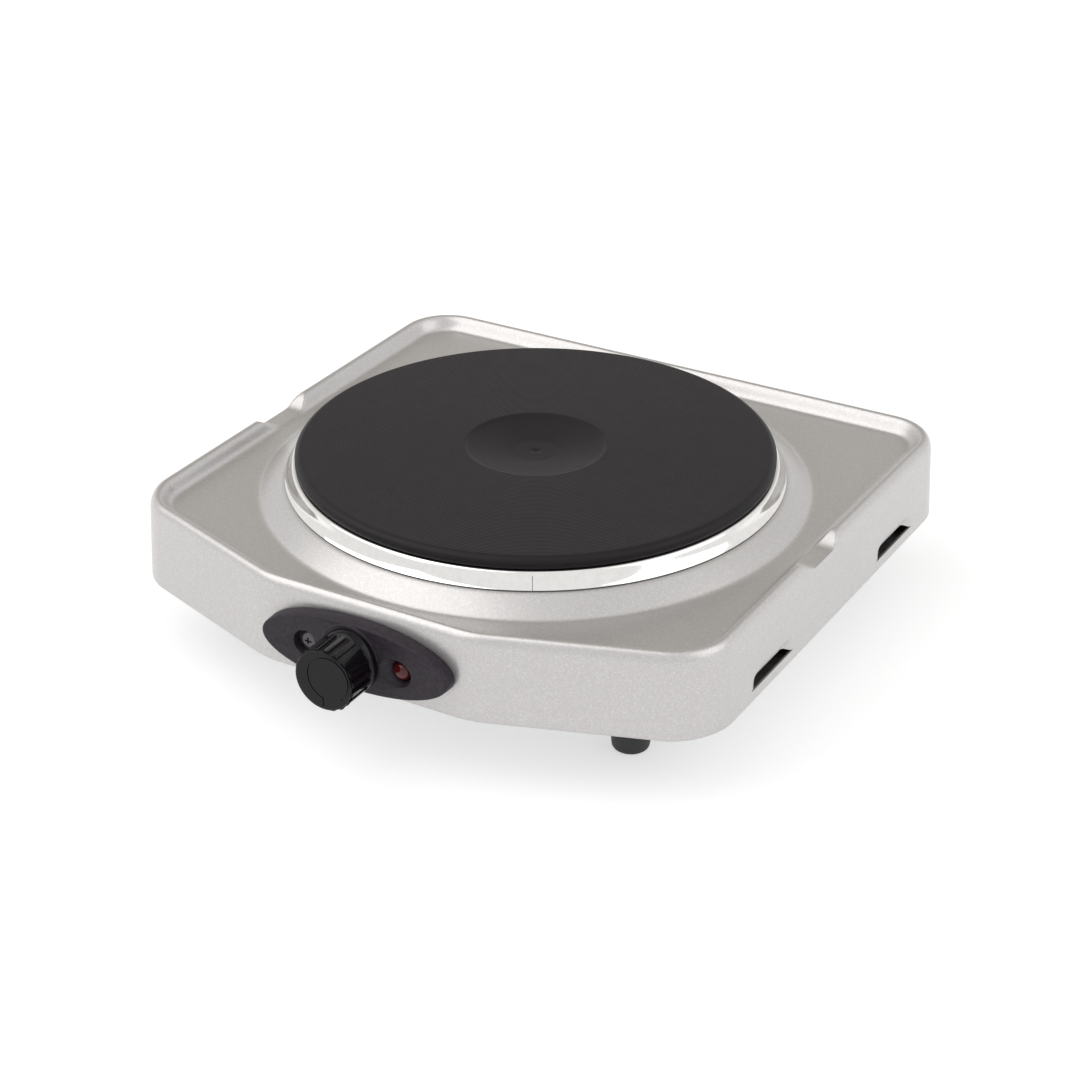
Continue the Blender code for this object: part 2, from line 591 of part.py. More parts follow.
def clamp(steel, sheet):
    # The central stud holds the plate, the clamp bar, the heat shield and the base plate together.
    prism("centre_stud", circle(STUD_RADIUS, 20), STUD_BOTTOM, STUD_TOP, steel, PLATE_PLACE)
    bm = bmesh.new()
    ear_top = boss_underside(math.hypot(BAR_REACH, BAR_WIDTH / 2)) - 2 * TOUCH
    top = BAR_BOTTOM + BAR_THICKNESS
    inside = BAR_REACH - BAR_THICKNESS
    side = [(-BAR_REACH, BAR_BOTTOM), (BAR_REACH, BAR_BOTTOM), (BAR_REACH, ear_top), (inside, ear_top),
            (inside, top), (-inside, top), (-inside, ear_top), (-BAR_REACH, ear_top)]
    add_prism(bm, side, -BAR_WIDTH / 2, BAR_WIDTH / 2)
    bar = make_object("clamp_bar", bm, steel, PLATE_PLACE, faces_front=True)
    holes = bmesh.new()
    drill(holes, STUD_RADIUS + FIT, BAR_BOTTOM - OVERRUN, top + OVERRUN)
    drill(holes, FOOT_SCREW_RADIUS + FIT, BAR_BOTTOM - OVERRUN, top + OVERRUN, (EARTH_X, 0.0), 12)
    cut(bar, holes, PLATE_PLACE)
    washer_bottom = BAR_BOTTOM - TOUCH - WASHER_THICKNESS
    turned("clamp_washer", washer_profile(STUD_RADIUS + FIT, WASHER_RADIUS, washer_bottom,
                                          washer_bottom + WASHER_THICKNESS), steel, PLATE_PLACE, 24)
    nut("clamp_nut", STUD_RADIUS, NUT_ACROSS, washer_bottom - TOUCH - NUT_HEIGHT, NUT_HEIGHT, steel,
        PLATE_PLACE)
    shield_top = SHIELD_BOTTOM + SHIELD_THICKNESS
    turned("heat_shield", washer_profile(STUD_RADIUS + FIT, SHIELD_RADIUS, SHIELD_BOTTOM, shield_top), sheet,
           PLATE_PLACE, DISC_STEPS)
    nut("shield_nut", STUD_RADIUS, NUT_ACROSS, SHIELD_BOTTOM - TOUCH - NUT_HEIGHT, NUT_HEIGHT, steel,
        PLATE_PLACE)
    nut("base_nut", STUD_RADIUS, NUT_ACROSS, BASE_BOTTOM - TOUCH - BASE_NUT_HEIGHT, BASE_NUT_HEIGHT, steel,
        PLATE_PLACE)
    screw("earth_screw", FOOT_SCREW_RADIUS, SCREW_HEAD_RADIUS, SCREW_HEAD_HEIGHT, EARTH_SCREW_LENGTH, steel,
          (EARTH_X, PLATE_Y, BAR_BOTTOM - TOUCH))


def screw(name, shank, head, head_height, length, material, place, faces_front=False):
    # A pan-head screw whose shank runs along its own +Z from the head's seat.
    profile = [(0.0, length), (shank, length), (shank, 0.0), (head, 0.0), (head, -0.6 * head_height),
               (0.7 * head, -head_height), (0.0, -head_height)]
    turned(name, profile, material, place, 14, faces_front)


def base_plate(material):
    inset = SHEET + LIP_BEND + FIT
    piece = prism("base_plate", outline(inset), BASE_BOTTOM, BASE_TOP, material)
    low, high = BASE_BOTTOM - OVERRUN, BASE_TOP + OVERRUN
    holes = bmesh.new()
    for row in (-1, 1):
        for number in range(SLOTS_PER_ROW):
            y = PLATE_Y + (number - (SLOTS_PER_ROW - 1) / 2) * SLOT_PITCH
            add_prism(holes, rectangle(SLOT_LENGTH, SLOT_WIDTH, (row * SLOT_ROW_OFFSET, y)), low, high)
    for x, y in foot_centres():
        drill(holes, FOOT_SCREW_RADIUS + FIT, low, high, (x, y), 12)
    drill(holes, STUD_RADIUS + FIT, low, high, (0.0, PLATE_Y))
    cut(piece, holes)


def foot_centres():
    # The front feet stand at a set distance behind the slanted faces.
    slope = SIDE_SETBACK / (HALF_WIDTH - FRONT_FACET_HALF)
    front = FRONT_Y + slope * (FOOT_X - FRONT_FACET_HALF) + FOOT_FROM_SLANT * math.hypot(1.0, slope)
    return [(x, y) for y in (front, BACK_Y - FOOT_FROM_BACK) for x in (-FOOT_X, FOOT_X)]


def feet(rubber, steel):
    top = BASE_BOTTOM - TOUCH
    seat = FOOT_COUNTERBORE_DEPTH - STAND
    bore = FOOT_SCREW_RADIUS + FIT
    profile = [(FOOT_TOP_RADIUS, top), (FOOT_BOTTOM_RADIUS, FOOT_ROUNDING - STAND),
               (FOOT_BOTTOM_RADIUS - 0.3 * FOOT_ROUNDING, 0.3 * FOOT_ROUNDING - STAND),
               (FOOT_BOTTOM_RADIUS - FOOT_ROUNDING, -STAND), (FOOT_COUNTERBORE, -STAND),
               (FOOT_COUNTERBORE, seat), (bore, seat), (bore, top)]
    shank = BASE_TOP + 2 * TOUCH + FOOT_NUT_HEIGHT - seat
    for place, (x, y) in zip(("front_left", "front_right", "back_left", "back_right"), foot_centres()):
        turned(f"foot_{place}", profile, rubber, (x, y, 0.0), 18)
        screw(f"foot_screw_{place}", FOOT_SCREW_RADIUS, SCREW_HEAD_RADIUS, SCREW_HEAD_HEIGHT, shank, steel,
              (x, y, seat - TOUCH))
        nut(f"foot_nut_{place}", FOOT_SCREW_RADIUS, FOOT_NUT_ACROSS, BASE_TOP + TOUCH, FOOT_NUT_HEIGHT, steel,
            (x, y, 0.0))


def ellipse_loop(bm, inset, heights):
    wide, high = PANEL_HALF_WIDTH - inset, PANEL_HALF_HEIGHT - inset
    loop = []
    for step in range(PANEL_STEPS):
        angle = 2 * math.pi * step / PANEL_STEPS
        x, y = wide * math.cos(angle), high * math.sin(angle)
        loop.append(bm.verts.new((x, y, heights(y))))
    return loop


def add_funnel(bm, sections):
    # A closed body through oval sections of (offset along X, half width, half height, level), top to bottom.
    loops = []
    for offset, wide, high, level in sections:
        oval = [(offset + wide * x, high * y - LAMP_DROP) for x, y in circle(1.0, 28)]
        loops.append([bm.verts.new((x, y, level)) for x, y in oval])
    for upper, lower in zip(loops, loops[1:]):
        skin_row(bm, lower, upper)
    bm.faces.new(loops[0])
    bm.faces.new(reversed(loops[-1]))


def control_bezel(material):
    bm = bmesh.new()
    loops = [ellipse_loop(bm, 0.0, lambda y: TOUCH - wall_inset(PANEL_Z + y)),
             ellipse_loop(bm, PANEL_DRAFT, lambda y: PANEL_PROUD - PANEL_BEVEL),
             ellipse_loop(bm, PANEL_DRAFT + PANEL_BEVEL, lambda y: PANEL_PROUD)]
    for lower, upper in zip(loops, loops[1:]):
        skin_row(bm, lower, upper)
    bm.faces.new(loops[-1])
    bm.faces.new(reversed(loops[0]))
    piece = make_object("control_bezel", bm, material, PANEL_PLACE, faces_front=True)
    boss = bmesh.new()
    drill(boss, PANEL_BOSS_RADIUS, PANEL_PROUD - PANEL_BEVEL, PANEL_PROUD + PANEL_BOSS_RISE,
          PANEL_BOSS_SHIFT, 40)
    combine(piece, boss, "UNION", PANEL_PLACE, faces_front=True)
    low, high = -WALL_DRAFT - OVERRUN, PANEL_PROUD + PANEL_BOSS_RISE + OVERRUN
    holes = bmesh.new()
    drill(holes, SHAFT_RADIUS + 3 * FIT, low, high)
    lamp_bore = LAMP_RADIUS + FIT
    lamp_floor, screw_floor = PANEL_PROUD - LAMP_SINK_DEPTH, PANEL_PROUD - PANEL_SINK_DEPTH
    add_funnel(holes, [(LAMP_SINK_OFFSET, LAMP_SINK_HALF_WIDTH, LAMP_SINK_HALF_HEIGHT, high),
                       (LAMP_SINK_OFFSET, LAMP_SINK_HALF_WIDTH, LAMP_SINK_HALF_HEIGHT, PANEL_PROUD),
                       (LAMP_OFFSET, lamp_bore, lamp_bore, lamp_floor),
                       (LAMP_OFFSET, lamp_bore, lamp_bore, low)])
    screw_bore = PANEL_SCREW_RADIUS + FIT
    screw_hole = [(0.0, high), (PANEL_SINK_RADIUS, high), (PANEL_SINK_RADIUS, screw_floor),
                  (screw_bore, screw_floor), (screw_bore, low), (0.0, low)]
    add_turned(holes, screw_hole, 20, (PANEL_SCREW_OFFSET, 0.0))
    cut(piece, holes, PANEL_PLACE, faces_front=True)


def knob_loop(bm, height, radius, rib_radius):
    loop = []
    pitch = 2 * math.pi / KNOB_RIBS
    for rib in range(KNOB_RIBS):
        for share, outside in KNOB_RIB_SHARES:
            angle = pitch * (rib + share)
            reach = rib_radius if outside else radius
            loop.append(bm.verts.new((reach * math.cos(angle), reach * math.sin(angle), height)))
    return loop


def control_knob(material):
    bm = bmesh.new()
    back = PANEL_PROUD + PANEL_BOSS_RISE + 2 * TOUCH
    collar_top = back + KNOB_COLLAR_LENGTH
    root = KNOB_RADIUS - KNOB_RIB_DEPTH
    collar = KNOB_COLLAR_RADIUS
    rib_foot = collar_top + KNOB_STEP
    rib_end = KNOB_REACH - KNOB_EDGE_HEIGHT
    sections = [(back, collar, collar), (collar_top, collar, collar), (rib_foot, root, root),
                (rib_foot + KNOB_RIB_START, root, KNOB_RADIUS), (rib_end, root, KNOB_RADIUS),
                (KNOB_REACH, root - KNOB_EDGE_WIDTH, root - KNOB_EDGE_WIDTH / 2)]
    loops = [knob_loop(bm, *section) for section in sections]
    for lower, upper in zip(loops, loops[1:]):
        skin_row(bm, lower, upper)
    bm.faces.new(loops[-1])
    bm.faces.new(reversed(loops[0]))
    piece = make_object("control_knob", bm, material, PANEL_PLACE, faces_front=True)
    bore = bmesh.new()
    drill(bore, SHAFT_RADIUS + FIT, back - OVERRUN, KNOB_REACH - SHAFT_TIP_SETBACK + TOUCH)
    cut(piece, bore, PANEL_PLACE, faces_front=True)


def control_shaft(material):
    # A round shaft with a flat along its top.
    flat = SHAFT_FLAT_SHARE * SHAFT_RADIUS
    profile = [(x, min(y, flat)) for x, y in circle(SHAFT_RADIUS, 20)]
    prism("control_shaft", profile, THERMOSTAT_BACK - SHAFT_OVER, KNOB_REACH - SHAFT_TIP_SETBACK, material,
          PANEL_PLACE, faces_front=True)


def pilot_lamp(lens, holder):
    seat = BACK_OF_WALL
    lens_back = seat - LENS_SEAT_DEPTH
    profile = [(0.0, LAMP_PROUD), (0.5 * LAMP_RADIUS, LAMP_PROUD - 0.15 * LAMP_DOME),
               (0.87 * LAMP_RADIUS, LAMP_PROUD - 0.5 * LAMP_DOME), (LAMP_RADIUS, LAMP_PROUD - LAMP_DOME),
               (LAMP_RADIUS, lens_back), (0.0, lens_back)]
    place = (PANEL_X + LAMP_OFFSET, FRONT_Y, PANEL_Z - LAMP_DROP)
    turned("pilot_lamp_lens", profile, lens, place, 20, faces_front=True)
    back = lens_back - LAMP_BODY_LENGTH
    cup = [(LAMP_BODY_RADIUS, seat), (LAMP_RADIUS + FIT, seat), (LAMP_RADIUS + FIT, lens_back - TOUCH),
           (0.0, lens_back - TOUCH), (0.0, back), (LAMP_BODY_RADIUS, back)]
    turned("pilot_lamp_body", cup, holder, place, 20, faces_front=True)


def thermostat(steel, black_steel, ceramic, brass):
    high = BACK_OF_WALL
    low = high - BRACKET_THICKNESS
    left, right = PANEL_SCREW_OFFSET - BRACKET_MARGIN, LAMP_OFFSET - LAMP_BODY_RADIUS - 2 * FIT
    bracket = prism("thermostat_bracket", rectangle(right - left, BRACKET_HEIGHT, ((left + right) / 2, 0.0)),
                    low, high, steel, PANEL_PLACE, faces_front=True)
    holes = bmesh.new()
    drill(holes, SHAFT_RADIUS + FIT, low - OVERRUN, high + OVERRUN)
    drill(holes, PANEL_SCREW_RADIUS + FIT, low - OVERRUN, high + OVERRUN, (PANEL_SCREW_OFFSET, 0.0), 12)
    cut(bracket, holes, PANEL_PLACE, faces_front=True)
    body = prism("thermostat_body", rectangle(THERMOSTAT_WIDTH, THERMOSTAT_HEIGHT), THERMOSTAT_BACK,
                 THERMOSTAT_BACK + THERMOSTAT_DEPTH, ceramic, PANEL_PLACE, faces_front=True)
    bore = bmesh.new()
    drill(bore, SHAFT_RADIUS + FIT, THERMOSTAT_BACK - OVERRUN, low + OVERRUN)
    cut(body, bore, PANEL_PLACE, faces_front=True)
    blade_x = (BLADE_LENGTH - THERMOSTAT_WIDTH) / 2 + BLADE_INSET
    blade = rectangle(BLADE_LENGTH, BLADE_HEIGHT, (blade_x, 0.0))
    arm_front = THERMOSTAT_BACK - SHAFT_OVER - TOUCH
    prism("contact_arm", blade, arm_front - BLADE_THICKNESS, arm_front, brass, PANEL_PLACE, faces_front=True)
    strip_front = arm_front - BLADE_THICKNESS - BLADE_GAP
    prism("bimetal_strip", blade, strip_front - 2 * BLADE_THICKNESS, strip_front, steel, PANEL_PLACE,
          faces_front=True)
    seat = PANEL_PROUD - PANEL_SINK_DEPTH + TOUCH
    length = seat - low + BEZEL_SCREW_OVER
    profile = [(0.0, seat + PANEL_HEAD_HEIGHT), (0.7 * PANEL_HEAD_RADIUS, seat + PANEL_HEAD_HEIGHT),
               (PANEL_HEAD_RADIUS, seat + 0.4 * PANEL_HEAD_HEIGHT), (PANEL_HEAD_RADIUS, seat),
               (PANEL_SCREW_RADIUS, seat), (PANEL_SCREW_RADIUS, seat - length), (0.0, seat - length)]
    screw_x = PANEL_X + PANEL_SCREW_OFFSET
    turned("bezel_screw", profile, black_steel, (screw_x, FRONT_Y, PANEL_Z), 16, faces_front=True)
    outer = hexagon(FOOT_NUT_ACROSS)
    bezel_nut = prism("bezel_nut", outer, low - TOUCH - FOOT_NUT_HEIGHT, low - TOUCH, steel,
                      (screw_x, FRONT_Y, PANEL_Z), faces_front=True)
    hole = bmesh.new()
    drill(hole, PANEL_SCREW_RADIUS + FIT, low - TOUCH - FOOT_NUT_HEIGHT - OVERRUN, low + OVERRUN, steps=12)
    cut(bezel_nut, hole, (screw_x, FRONT_Y, PANEL_Z), faces_front=True)


def terminals(ceramic, brass):
    width, depth, height = TERMINAL_SIZE
    y = BACK_Y - TERMINAL_FROM_BACK
    bottom = BASE_TOP + TOUCH
    block = prism("terminal_block", rectangle(width, depth, (TERMINAL_X, y)), bottom, bottom + height,
                  ceramic)
    holes = bmesh.new()
    ways = [TERMINAL_X + (way - (TERMINAL_WAYS - 1) / 2) * TERMINAL_PITCH for way in range(TERMINAL_WAYS)]
    floor = bottom + height - TERMINAL_SCREW_DEPTH
    for x in ways:
        drill(holes, TERMINAL_SCREW_RADIUS + FIT, floor, bottom + height + OVERRUN, (x, y), 12)
    cut(block, holes)
    for number, x in enumerate(ways, 1):
        prism(f"terminal_screw_{number}", circle(TERMINAL_SCREW_RADIUS, 12), floor + TOUCH,
              bottom + height - TERMINAL_SCREW_SETBACK, brass, (x, y, 0.0))


def cord_gland(material):
    # A bushing held in the back wall by a flange on each side, with a bore for the mains cord.
    outside = TOUCH
    inside = -(WALL_DRAFT + SHEET + TOUCH)
    profile = [(GLAND_BORE, inside - GLAND_FLANGE), (GLAND_FLANGE_RADIUS, inside - GLAND_FLANGE),
               (GLAND_FLANGE_RADIUS, inside), (GLAND_NECK_RADIUS, inside), (GLAND_NECK_RADIUS, outside),
               (GLAND_FLANGE_RADIUS, outside), (GLAND_FLANGE_RADIUS - 0.5, outside + GLAND_FLANGE),
               (GLAND_NOSE_RADIUS, outside + GLAND_FLANGE), (GLAND_NOSE_RADIUS - 1.2, GLAND_OUT),
               (GLAND_BORE, GLAND_OUT)]
    piece = turned("cord_gland", profile, material, (GLAND_X, BACK_Y, GLAND_Z), 24)
    piece.rotation_euler = (-math.pi / 2, 0.0, 0.0)


def leads(material):
    # Sleeved leads, each along a route that keeps low under the plate and clear of the feet.
    low = BASE_TOP + LEAD_LIFT
    side = FOOT_X - FOOT_TOP_RADIUS
    block_front = BACK_Y - TERMINAL_FROM_BACK - TERMINAL_SIZE[1] / 2 - LEAD_END_GAP
    turn_back = block_front - LEAD_STRAIGHT
    ways = [TERMINAL_X + (way - 1) * TERMINAL_PITCH for way in range(TERMINAL_WAYS)]
    thermostat_x = PANEL_X - THERMOSTAT_WIDTH / 2 - LEAD_END_GAP
    thermostat_y = FRONT_Y - THERMOSTAT_BACK - 3.0
    turn_side = thermostat_x - LEAD_STRAIGHT
    (front_x, front_y), (back_x, back_y) = [(x, PLATE_Y + y) for x, y in pin_centres()]
    pin_bottom = BED_TOP - TOUCH - PIN_LENGTH - LEAD_END_GAP
    over = pin_bottom - LEAD_RISE
    halfway = over + LEAD_RISE / 2
    lower, upper = PANEL_Z - LEAD_PAIR / 2, PANEL_Z + LEAD_PAIR / 2
    live = [(ways[0], block_front, low + 2), (ways[0], turn_back, low + 2), (-side, PLATE_Y + 55, low),
            (-side, PLATE_Y, low), (4 - side, PLATE_Y - 55, low), (-50, PLATE_Y - 88, low + 2),
            (turn_side - 7, thermostat_y + 6, lower), (turn_side, thermostat_y, lower),
            (thermostat_x, thermostat_y, lower)]
    heater_front = [(thermostat_x, thermostat_y, upper), (turn_side, thermostat_y, upper),
                    (-26, FRONT_Y + 36, upper - 2), (-10, FRONT_Y + 56, over),
                    (front_x - 6, front_y - 5, over), (front_x, front_y, halfway),
                    (front_x, front_y, pin_bottom)]
    heater_back = [(ways[1], block_front, low + 4), (ways[1], turn_back, low + 4),
                   (ways[1] + 4, PLATE_Y + 66, over), (back_x - 6, back_y + 9, over),
                   (back_x, back_y, halfway), (back_x, back_y, pin_bottom)]
    lamp_x = PANEL_X + LAMP_OFFSET
    lamp_back = FRONT_Y - BACK_OF_WALL + LENS_SEAT_DEPTH + LAMP_BODY_LENGTH + LEAD_END_GAP
    lamp_z = PANEL_Z - LAMP_DROP
    lamp = [(lamp_x, lamp_back, lamp_z), (lamp_x, lamp_back + LEAD_STRAIGHT, lamp_z),
            (lamp_x + 6, lamp_back + 14, PANEL_Z - 4), (60, PLATE_Y - 66, low), (side, PLATE_Y - 20, low),
            (82, PLATE_Y + 45, low), (30, PLATE_Y + 74, low), (-26, PLATE_Y + 60, low),
            (ways[2], turn_back, low + 2),
            (ways[2], block_front, low + 2)]
    earth_y = PLATE_Y + SCREW_HEAD_RADIUS + LEAD_END_GAP
    earth = [(ways[0] - 4, block_front, low + 5), (ways[0] - 4, turn_back, low + 5),
             (EARTH_X, PLATE_Y + 40, 22), (EARTH_X, PLATE_Y + 12, 27), (EARTH_X, earth_y, 31)]
    routes = {"live": live, "heater_front": heater_front, "heater_back": heater_back, "lamp": lamp,
              "earth": earth}
    for name, route in routes.items():
        tube("lead_" + name, smooth_route(route), LEAD_RADIUS, material)


def build():
    for piece in list(bpy.data.objects):
        bpy.data.objects.remove(piece, do_unlink=True)
    paint = make_material("silver_paint", (0.66, 0.64, 0.60), 0.38, 0.75)
    stainless = make_material("stainless_steel", (0.80, 0.79, 0.77), 0.14, 1.0)
    iron = make_material("cast_iron", (0.035, 0.032, 0.034), 0.62, 0.3)
    panel = make_material("panel_plastic", (0.05, 0.045, 0.05), 0.6)
    knob = make_material("knob_plastic", (0.02, 0.02, 0.022), 0.3)
    lens = make_material("lamp_lens", (0.32, 0.02, 0.02), 0.12)
    rubber = make_material("rubber", (0.03, 0.03, 0.032), 0.75)
    steel = make_material("zinc_steel", (0.62, 0.62, 0.60), 0.35, 1.0)
    black_steel = make_material("blackened_steel", (0.10, 0.095, 0.10), 0.35, 0.8)
    sheet = make_material("galvanised_sheet", (0.55, 0.56, 0.56), 0.45, 0.9)
    ceramic = make_material("ceramic", (0.86, 0.82, 0.74), 0.55)
    brass = make_material("brass", (0.72, 0.55, 0.25), 0.3, 1.0)
    wire = make_material("resistance_wire", (0.40, 0.38, 0.36), 0.5, 1.0)
    sleeve = make_material("lead_sleeve", (0.78, 0.76, 0.70), 0.8)
    top_housing(paint)
    base_plate(sheet)
    cast_iron_plate(iron)
    trim_ring(stainless)
    heating_element(wire, ceramic, sheet, brass)
    clamp(steel, sheet)
    feet(rubber, steel)
    control_bezel(panel)
    control_knob(knob)
    control_shaft(steel)
    pilot_lamp(lens, panel)
    thermostat(steel, black_steel, ceramic, brass)
    terminals(ceramic, brass)
    cord_gland(rubber)
    leads(sleeve)


build()
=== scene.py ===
import math

import bmesh
import bpy
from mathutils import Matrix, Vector


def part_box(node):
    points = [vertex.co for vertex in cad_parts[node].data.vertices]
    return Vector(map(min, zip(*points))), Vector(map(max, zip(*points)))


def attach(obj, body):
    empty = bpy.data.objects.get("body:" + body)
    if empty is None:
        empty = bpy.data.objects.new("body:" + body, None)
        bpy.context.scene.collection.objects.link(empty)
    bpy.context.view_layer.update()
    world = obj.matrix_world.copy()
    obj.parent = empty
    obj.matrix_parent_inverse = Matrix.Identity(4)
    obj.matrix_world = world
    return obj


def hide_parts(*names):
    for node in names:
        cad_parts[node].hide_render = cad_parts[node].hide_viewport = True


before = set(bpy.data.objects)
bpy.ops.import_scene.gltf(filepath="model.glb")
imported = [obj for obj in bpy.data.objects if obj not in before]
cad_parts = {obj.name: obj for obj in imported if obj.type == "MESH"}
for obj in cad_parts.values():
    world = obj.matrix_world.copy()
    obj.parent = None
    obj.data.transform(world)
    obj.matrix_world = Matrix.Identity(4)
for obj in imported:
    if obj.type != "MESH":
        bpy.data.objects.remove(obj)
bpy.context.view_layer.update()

mm = 0.001


# Places, in millimetres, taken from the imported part

def boxOf(node):
    low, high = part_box(node)
    return low / mm, high / mm


def middleOf(node):
    low, high = boxOf(node)
    return (low + high) / 2


shellLow, shellHigh = boxOf("top_housing")
ringLow, ringHigh = boxOf("trim_ring")
knobLow, knobHigh = boxOf("control_knob")
bezelLow, bezelHigh = boxOf("control_bezel")
frontY = shellLow.y
backY = shellHigh.y
halfWidth = shellHigh.x
plateY = middleOf("cast_iron_plate").y
plateTop = boxOf("cast_iron_plate")[1].z
knobX = middleOf("control_knob").x
knobZ = middleOf("control_knob").z
plateCentre = (0.0, plateY)
shellOverDatum = 11.0
datum = shellLow.z - shellOverDatum   # the line that the housing's heights are given over


# Small helpers for working in edit mode

def toObjectMode():
    if bpy.context.mode != "OBJECT":
        bpy.ops.object.mode_set(mode="OBJECT")


def pickOnly(*pieces):
    toObjectMode()
    bpy.ops.object.select_all(action="DESELECT")
    for piece in pieces:
        piece.select_set(True)
    bpy.context.view_layer.objects.active = pieces[-1]


def clearPick():
    toObjectMode()
    bpy.ops.object.select_all(action="DESELECT")


def editFresh(name):
    # the primitive just added becomes a named piece, in edit mode with all of it selected
    piece = bpy.context.object
    piece.name = name
    piece.data.name = name
    bpy.ops.object.transform_apply(location=True, rotation=True, scale=True)
    bpy.ops.object.mode_set(mode="EDIT")
    bpy.ops.mesh.select_mode(type="VERT")
    bpy.ops.mesh.select_all(action="SELECT")
    return piece


def middle(item, kind):
    if kind == "VERT":
        return item.co / mm
    if kind == "EDGE":
        return (item.verts[0].co + item.verts[1].co) / 2 / mm
    return item.calc_center_median() / mm


def pick(kind, test):
    # selects what passes the test, which reads its middle in millimetres and the element itself
    bpy.ops.mesh.select_mode(type=kind)
    bpy.ops.mesh.select_all(action="DESELECT")
    mesh = bpy.context.edit_object.data
    form = bmesh.from_edit_mesh(mesh)
    items = {"VERT": form.verts, "EDGE": form.edges, "FACE": form.faces}[kind]
    found = 0
    for item in items:
        if test(middle(item, kind), item):
            item.select_set(True)
            found += 1
    form.select_flush_mode()
    bmesh.update_edit_mesh(mesh)
    return found


def moveBy(x, y, z):
    bpy.ops.transform.translate(value=(x * mm, y * mm, z * mm))


def scaleBy(x, y, z, centre=(0.0, 0.0, 0.0)):
    bpy.ops.transform.resize(value=(x, y, z), center_override=tuple(Vector(centre) * mm))


def extrudeBy(x, y, z):
    bpy.ops.mesh.extrude_region_move(TRANSFORM_OT_translate={"value": (x * mm, y * mm, z * mm)})


def insetBy(thickness, depth=0.0):
    bpy.ops.mesh.inset(thickness=thickness * mm, depth=depth * mm)


def turnOn(profile, centre=(0.0, 0.0)):
    # carries a selected loop through (radius, height) steps by extruding and resizing about the axis
    for (fromRadius, fromHeight), (radius, height) in zip(profile, profile[1:]):
        extrudeBy(0.0, 0.0, height - fromHeight)
        share = radius / fromRadius
        scaleBy(share, share, 1.0, (*centre, 0.0))


def turnPiece(name, profile, sides=96, centre=(0.0, 0.0), closing="caps"):
    clearPick()
    radius, height = profile[0]
    bpy.ops.mesh.primitive_circle_add(vertices=sides, radius=radius * mm,
                                      location=(centre[0] * mm, centre[1] * mm, height * mm))
    piece = editFresh(name)
    turnOn(profile, centre)
    pick("EDGE", lambda place, edge: edge.is_boundary)
    if closing == "ring":
        bpy.ops.mesh.bridge_edge_loops()
    elif closing == "caps":
        bpy.ops.mesh.fill_holes(sides=0)
    toObjectMode()
    return piece


def placePiece(piece, place, facing="up"):
    # a piece made along +Z at the origin is turned to face the front or the back, and put in its place
    pickOnly(piece)
    turns = {"up": 0.0, "front": math.pi / 2, "back": -math.pi / 2}
    piece.rotation_euler = (turns[facing], 0.0, 0.0)
    piece.location = Vector(place) * mm
    bpy.ops.object.transform_apply(location=True, rotation=True, scale=True)


def tidyNormals(piece):
    pickOnly(piece)
    bpy.ops.object.mode_set(mode="EDIT")
    bpy.ops.mesh.select_all(action="SELECT")
    bpy.ops.mesh.remove_doubles(threshold=0.002 * mm)
    bpy.ops.mesh.normals_make_consistent(inside=False)
    toObjectMode()


def applyModifier(piece, modifier):
    pickOnly(piece)
    bpy.ops.object.modifier_apply(modifier=modifier.name)


def joinOrCut(piece, other, operation="DIFFERENCE"):
    # the other piece is used up
    tidyNormals(other)
    modifier = piece.modifiers.new("shape", "BOOLEAN")
    modifier.operation = operation
    modifier.solver = "EXACT"
    modifier.object = other
    applyModifier(piece, modifier)
    bpy.data.objects.remove(other)


def bevelPiece(piece, width, segments=2, angle=40.0):
    modifier = piece.modifiers.new("edges", "BEVEL")
    modifier.width = width * mm
    modifier.segments = segments
    modifier.limit_method = "ANGLE"
    modifier.angle_limit = math.radians(angle)
    modifier.harden_normals = False
    applyModifier(piece, modifier)


def finishPiece(piece, finish, body, nodes, sharp=35.0):
    pickOnly(piece)
    bpy.ops.object.shade_smooth_by_angle(angle=math.radians(sharp))
    piece.data.materials.clear()
    piece.data.materials.append(finish)
    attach(piece, body)
    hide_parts(*nodes)
    return piece


def copyPiece(piece, name):
    copied = piece.copy()
    copied.data = piece.data.copy()
    copied.name = name
    copied.data.name = name
    bpy.context.scene.collection.objects.link(copied)
    return copied


def smooth(share):
    share = min(max(share, 0.0), 1.0)
    return share * share * (3.0 - 2.0 * share)


# Node groups that several finishes share

def newGroup(name, inputs, outputs):
    group = bpy.data.node_groups.new(name, "ShaderNodeTree")
    for label, kind, value in inputs:
        socket = group.interface.new_socket(name=label, in_out="INPUT", socket_type=kind)
        if value is not None:
            socket.default_value = value
    for label, kind in outputs:
        group.interface.new_socket(name=label, in_out="OUTPUT", socket_type=kind)
    start = group.nodes.new("NodeGroupInput")
    end = group.nodes.new("NodeGroupOutput")
    return group, start, end


def addNode(tree, kind, place=(0, 0), **settings):
    node = tree.nodes.new(kind)
    node.location = place
    for key, value in settings.items():
        setattr(node, key, value)
    return node


def mathNode(tree, operation, first, second=None):
    node = addNode(tree, "ShaderNodeMath", operation=operation)
    for index, value in enumerate((first, second)):
        if value is None:
            continue
        if isinstance(value, (int, float)):
            node.inputs[index].default_value = value
        else:
            tree.links.new(value, node.inputs[index])
    return node.outputs[0]


def remap(tree, value, low, high, newLow, newHigh):
    node = addNode(tree, "ShaderNodeMapRange")
    tree.links.new(value, node.inputs["Value"])
    for label, number in (("From Min", low), ("From Max", high), ("To Min", newLow), ("To Max", newHigh)):
        node.inputs[label].default_value = number
    return node.outputs["Result"]


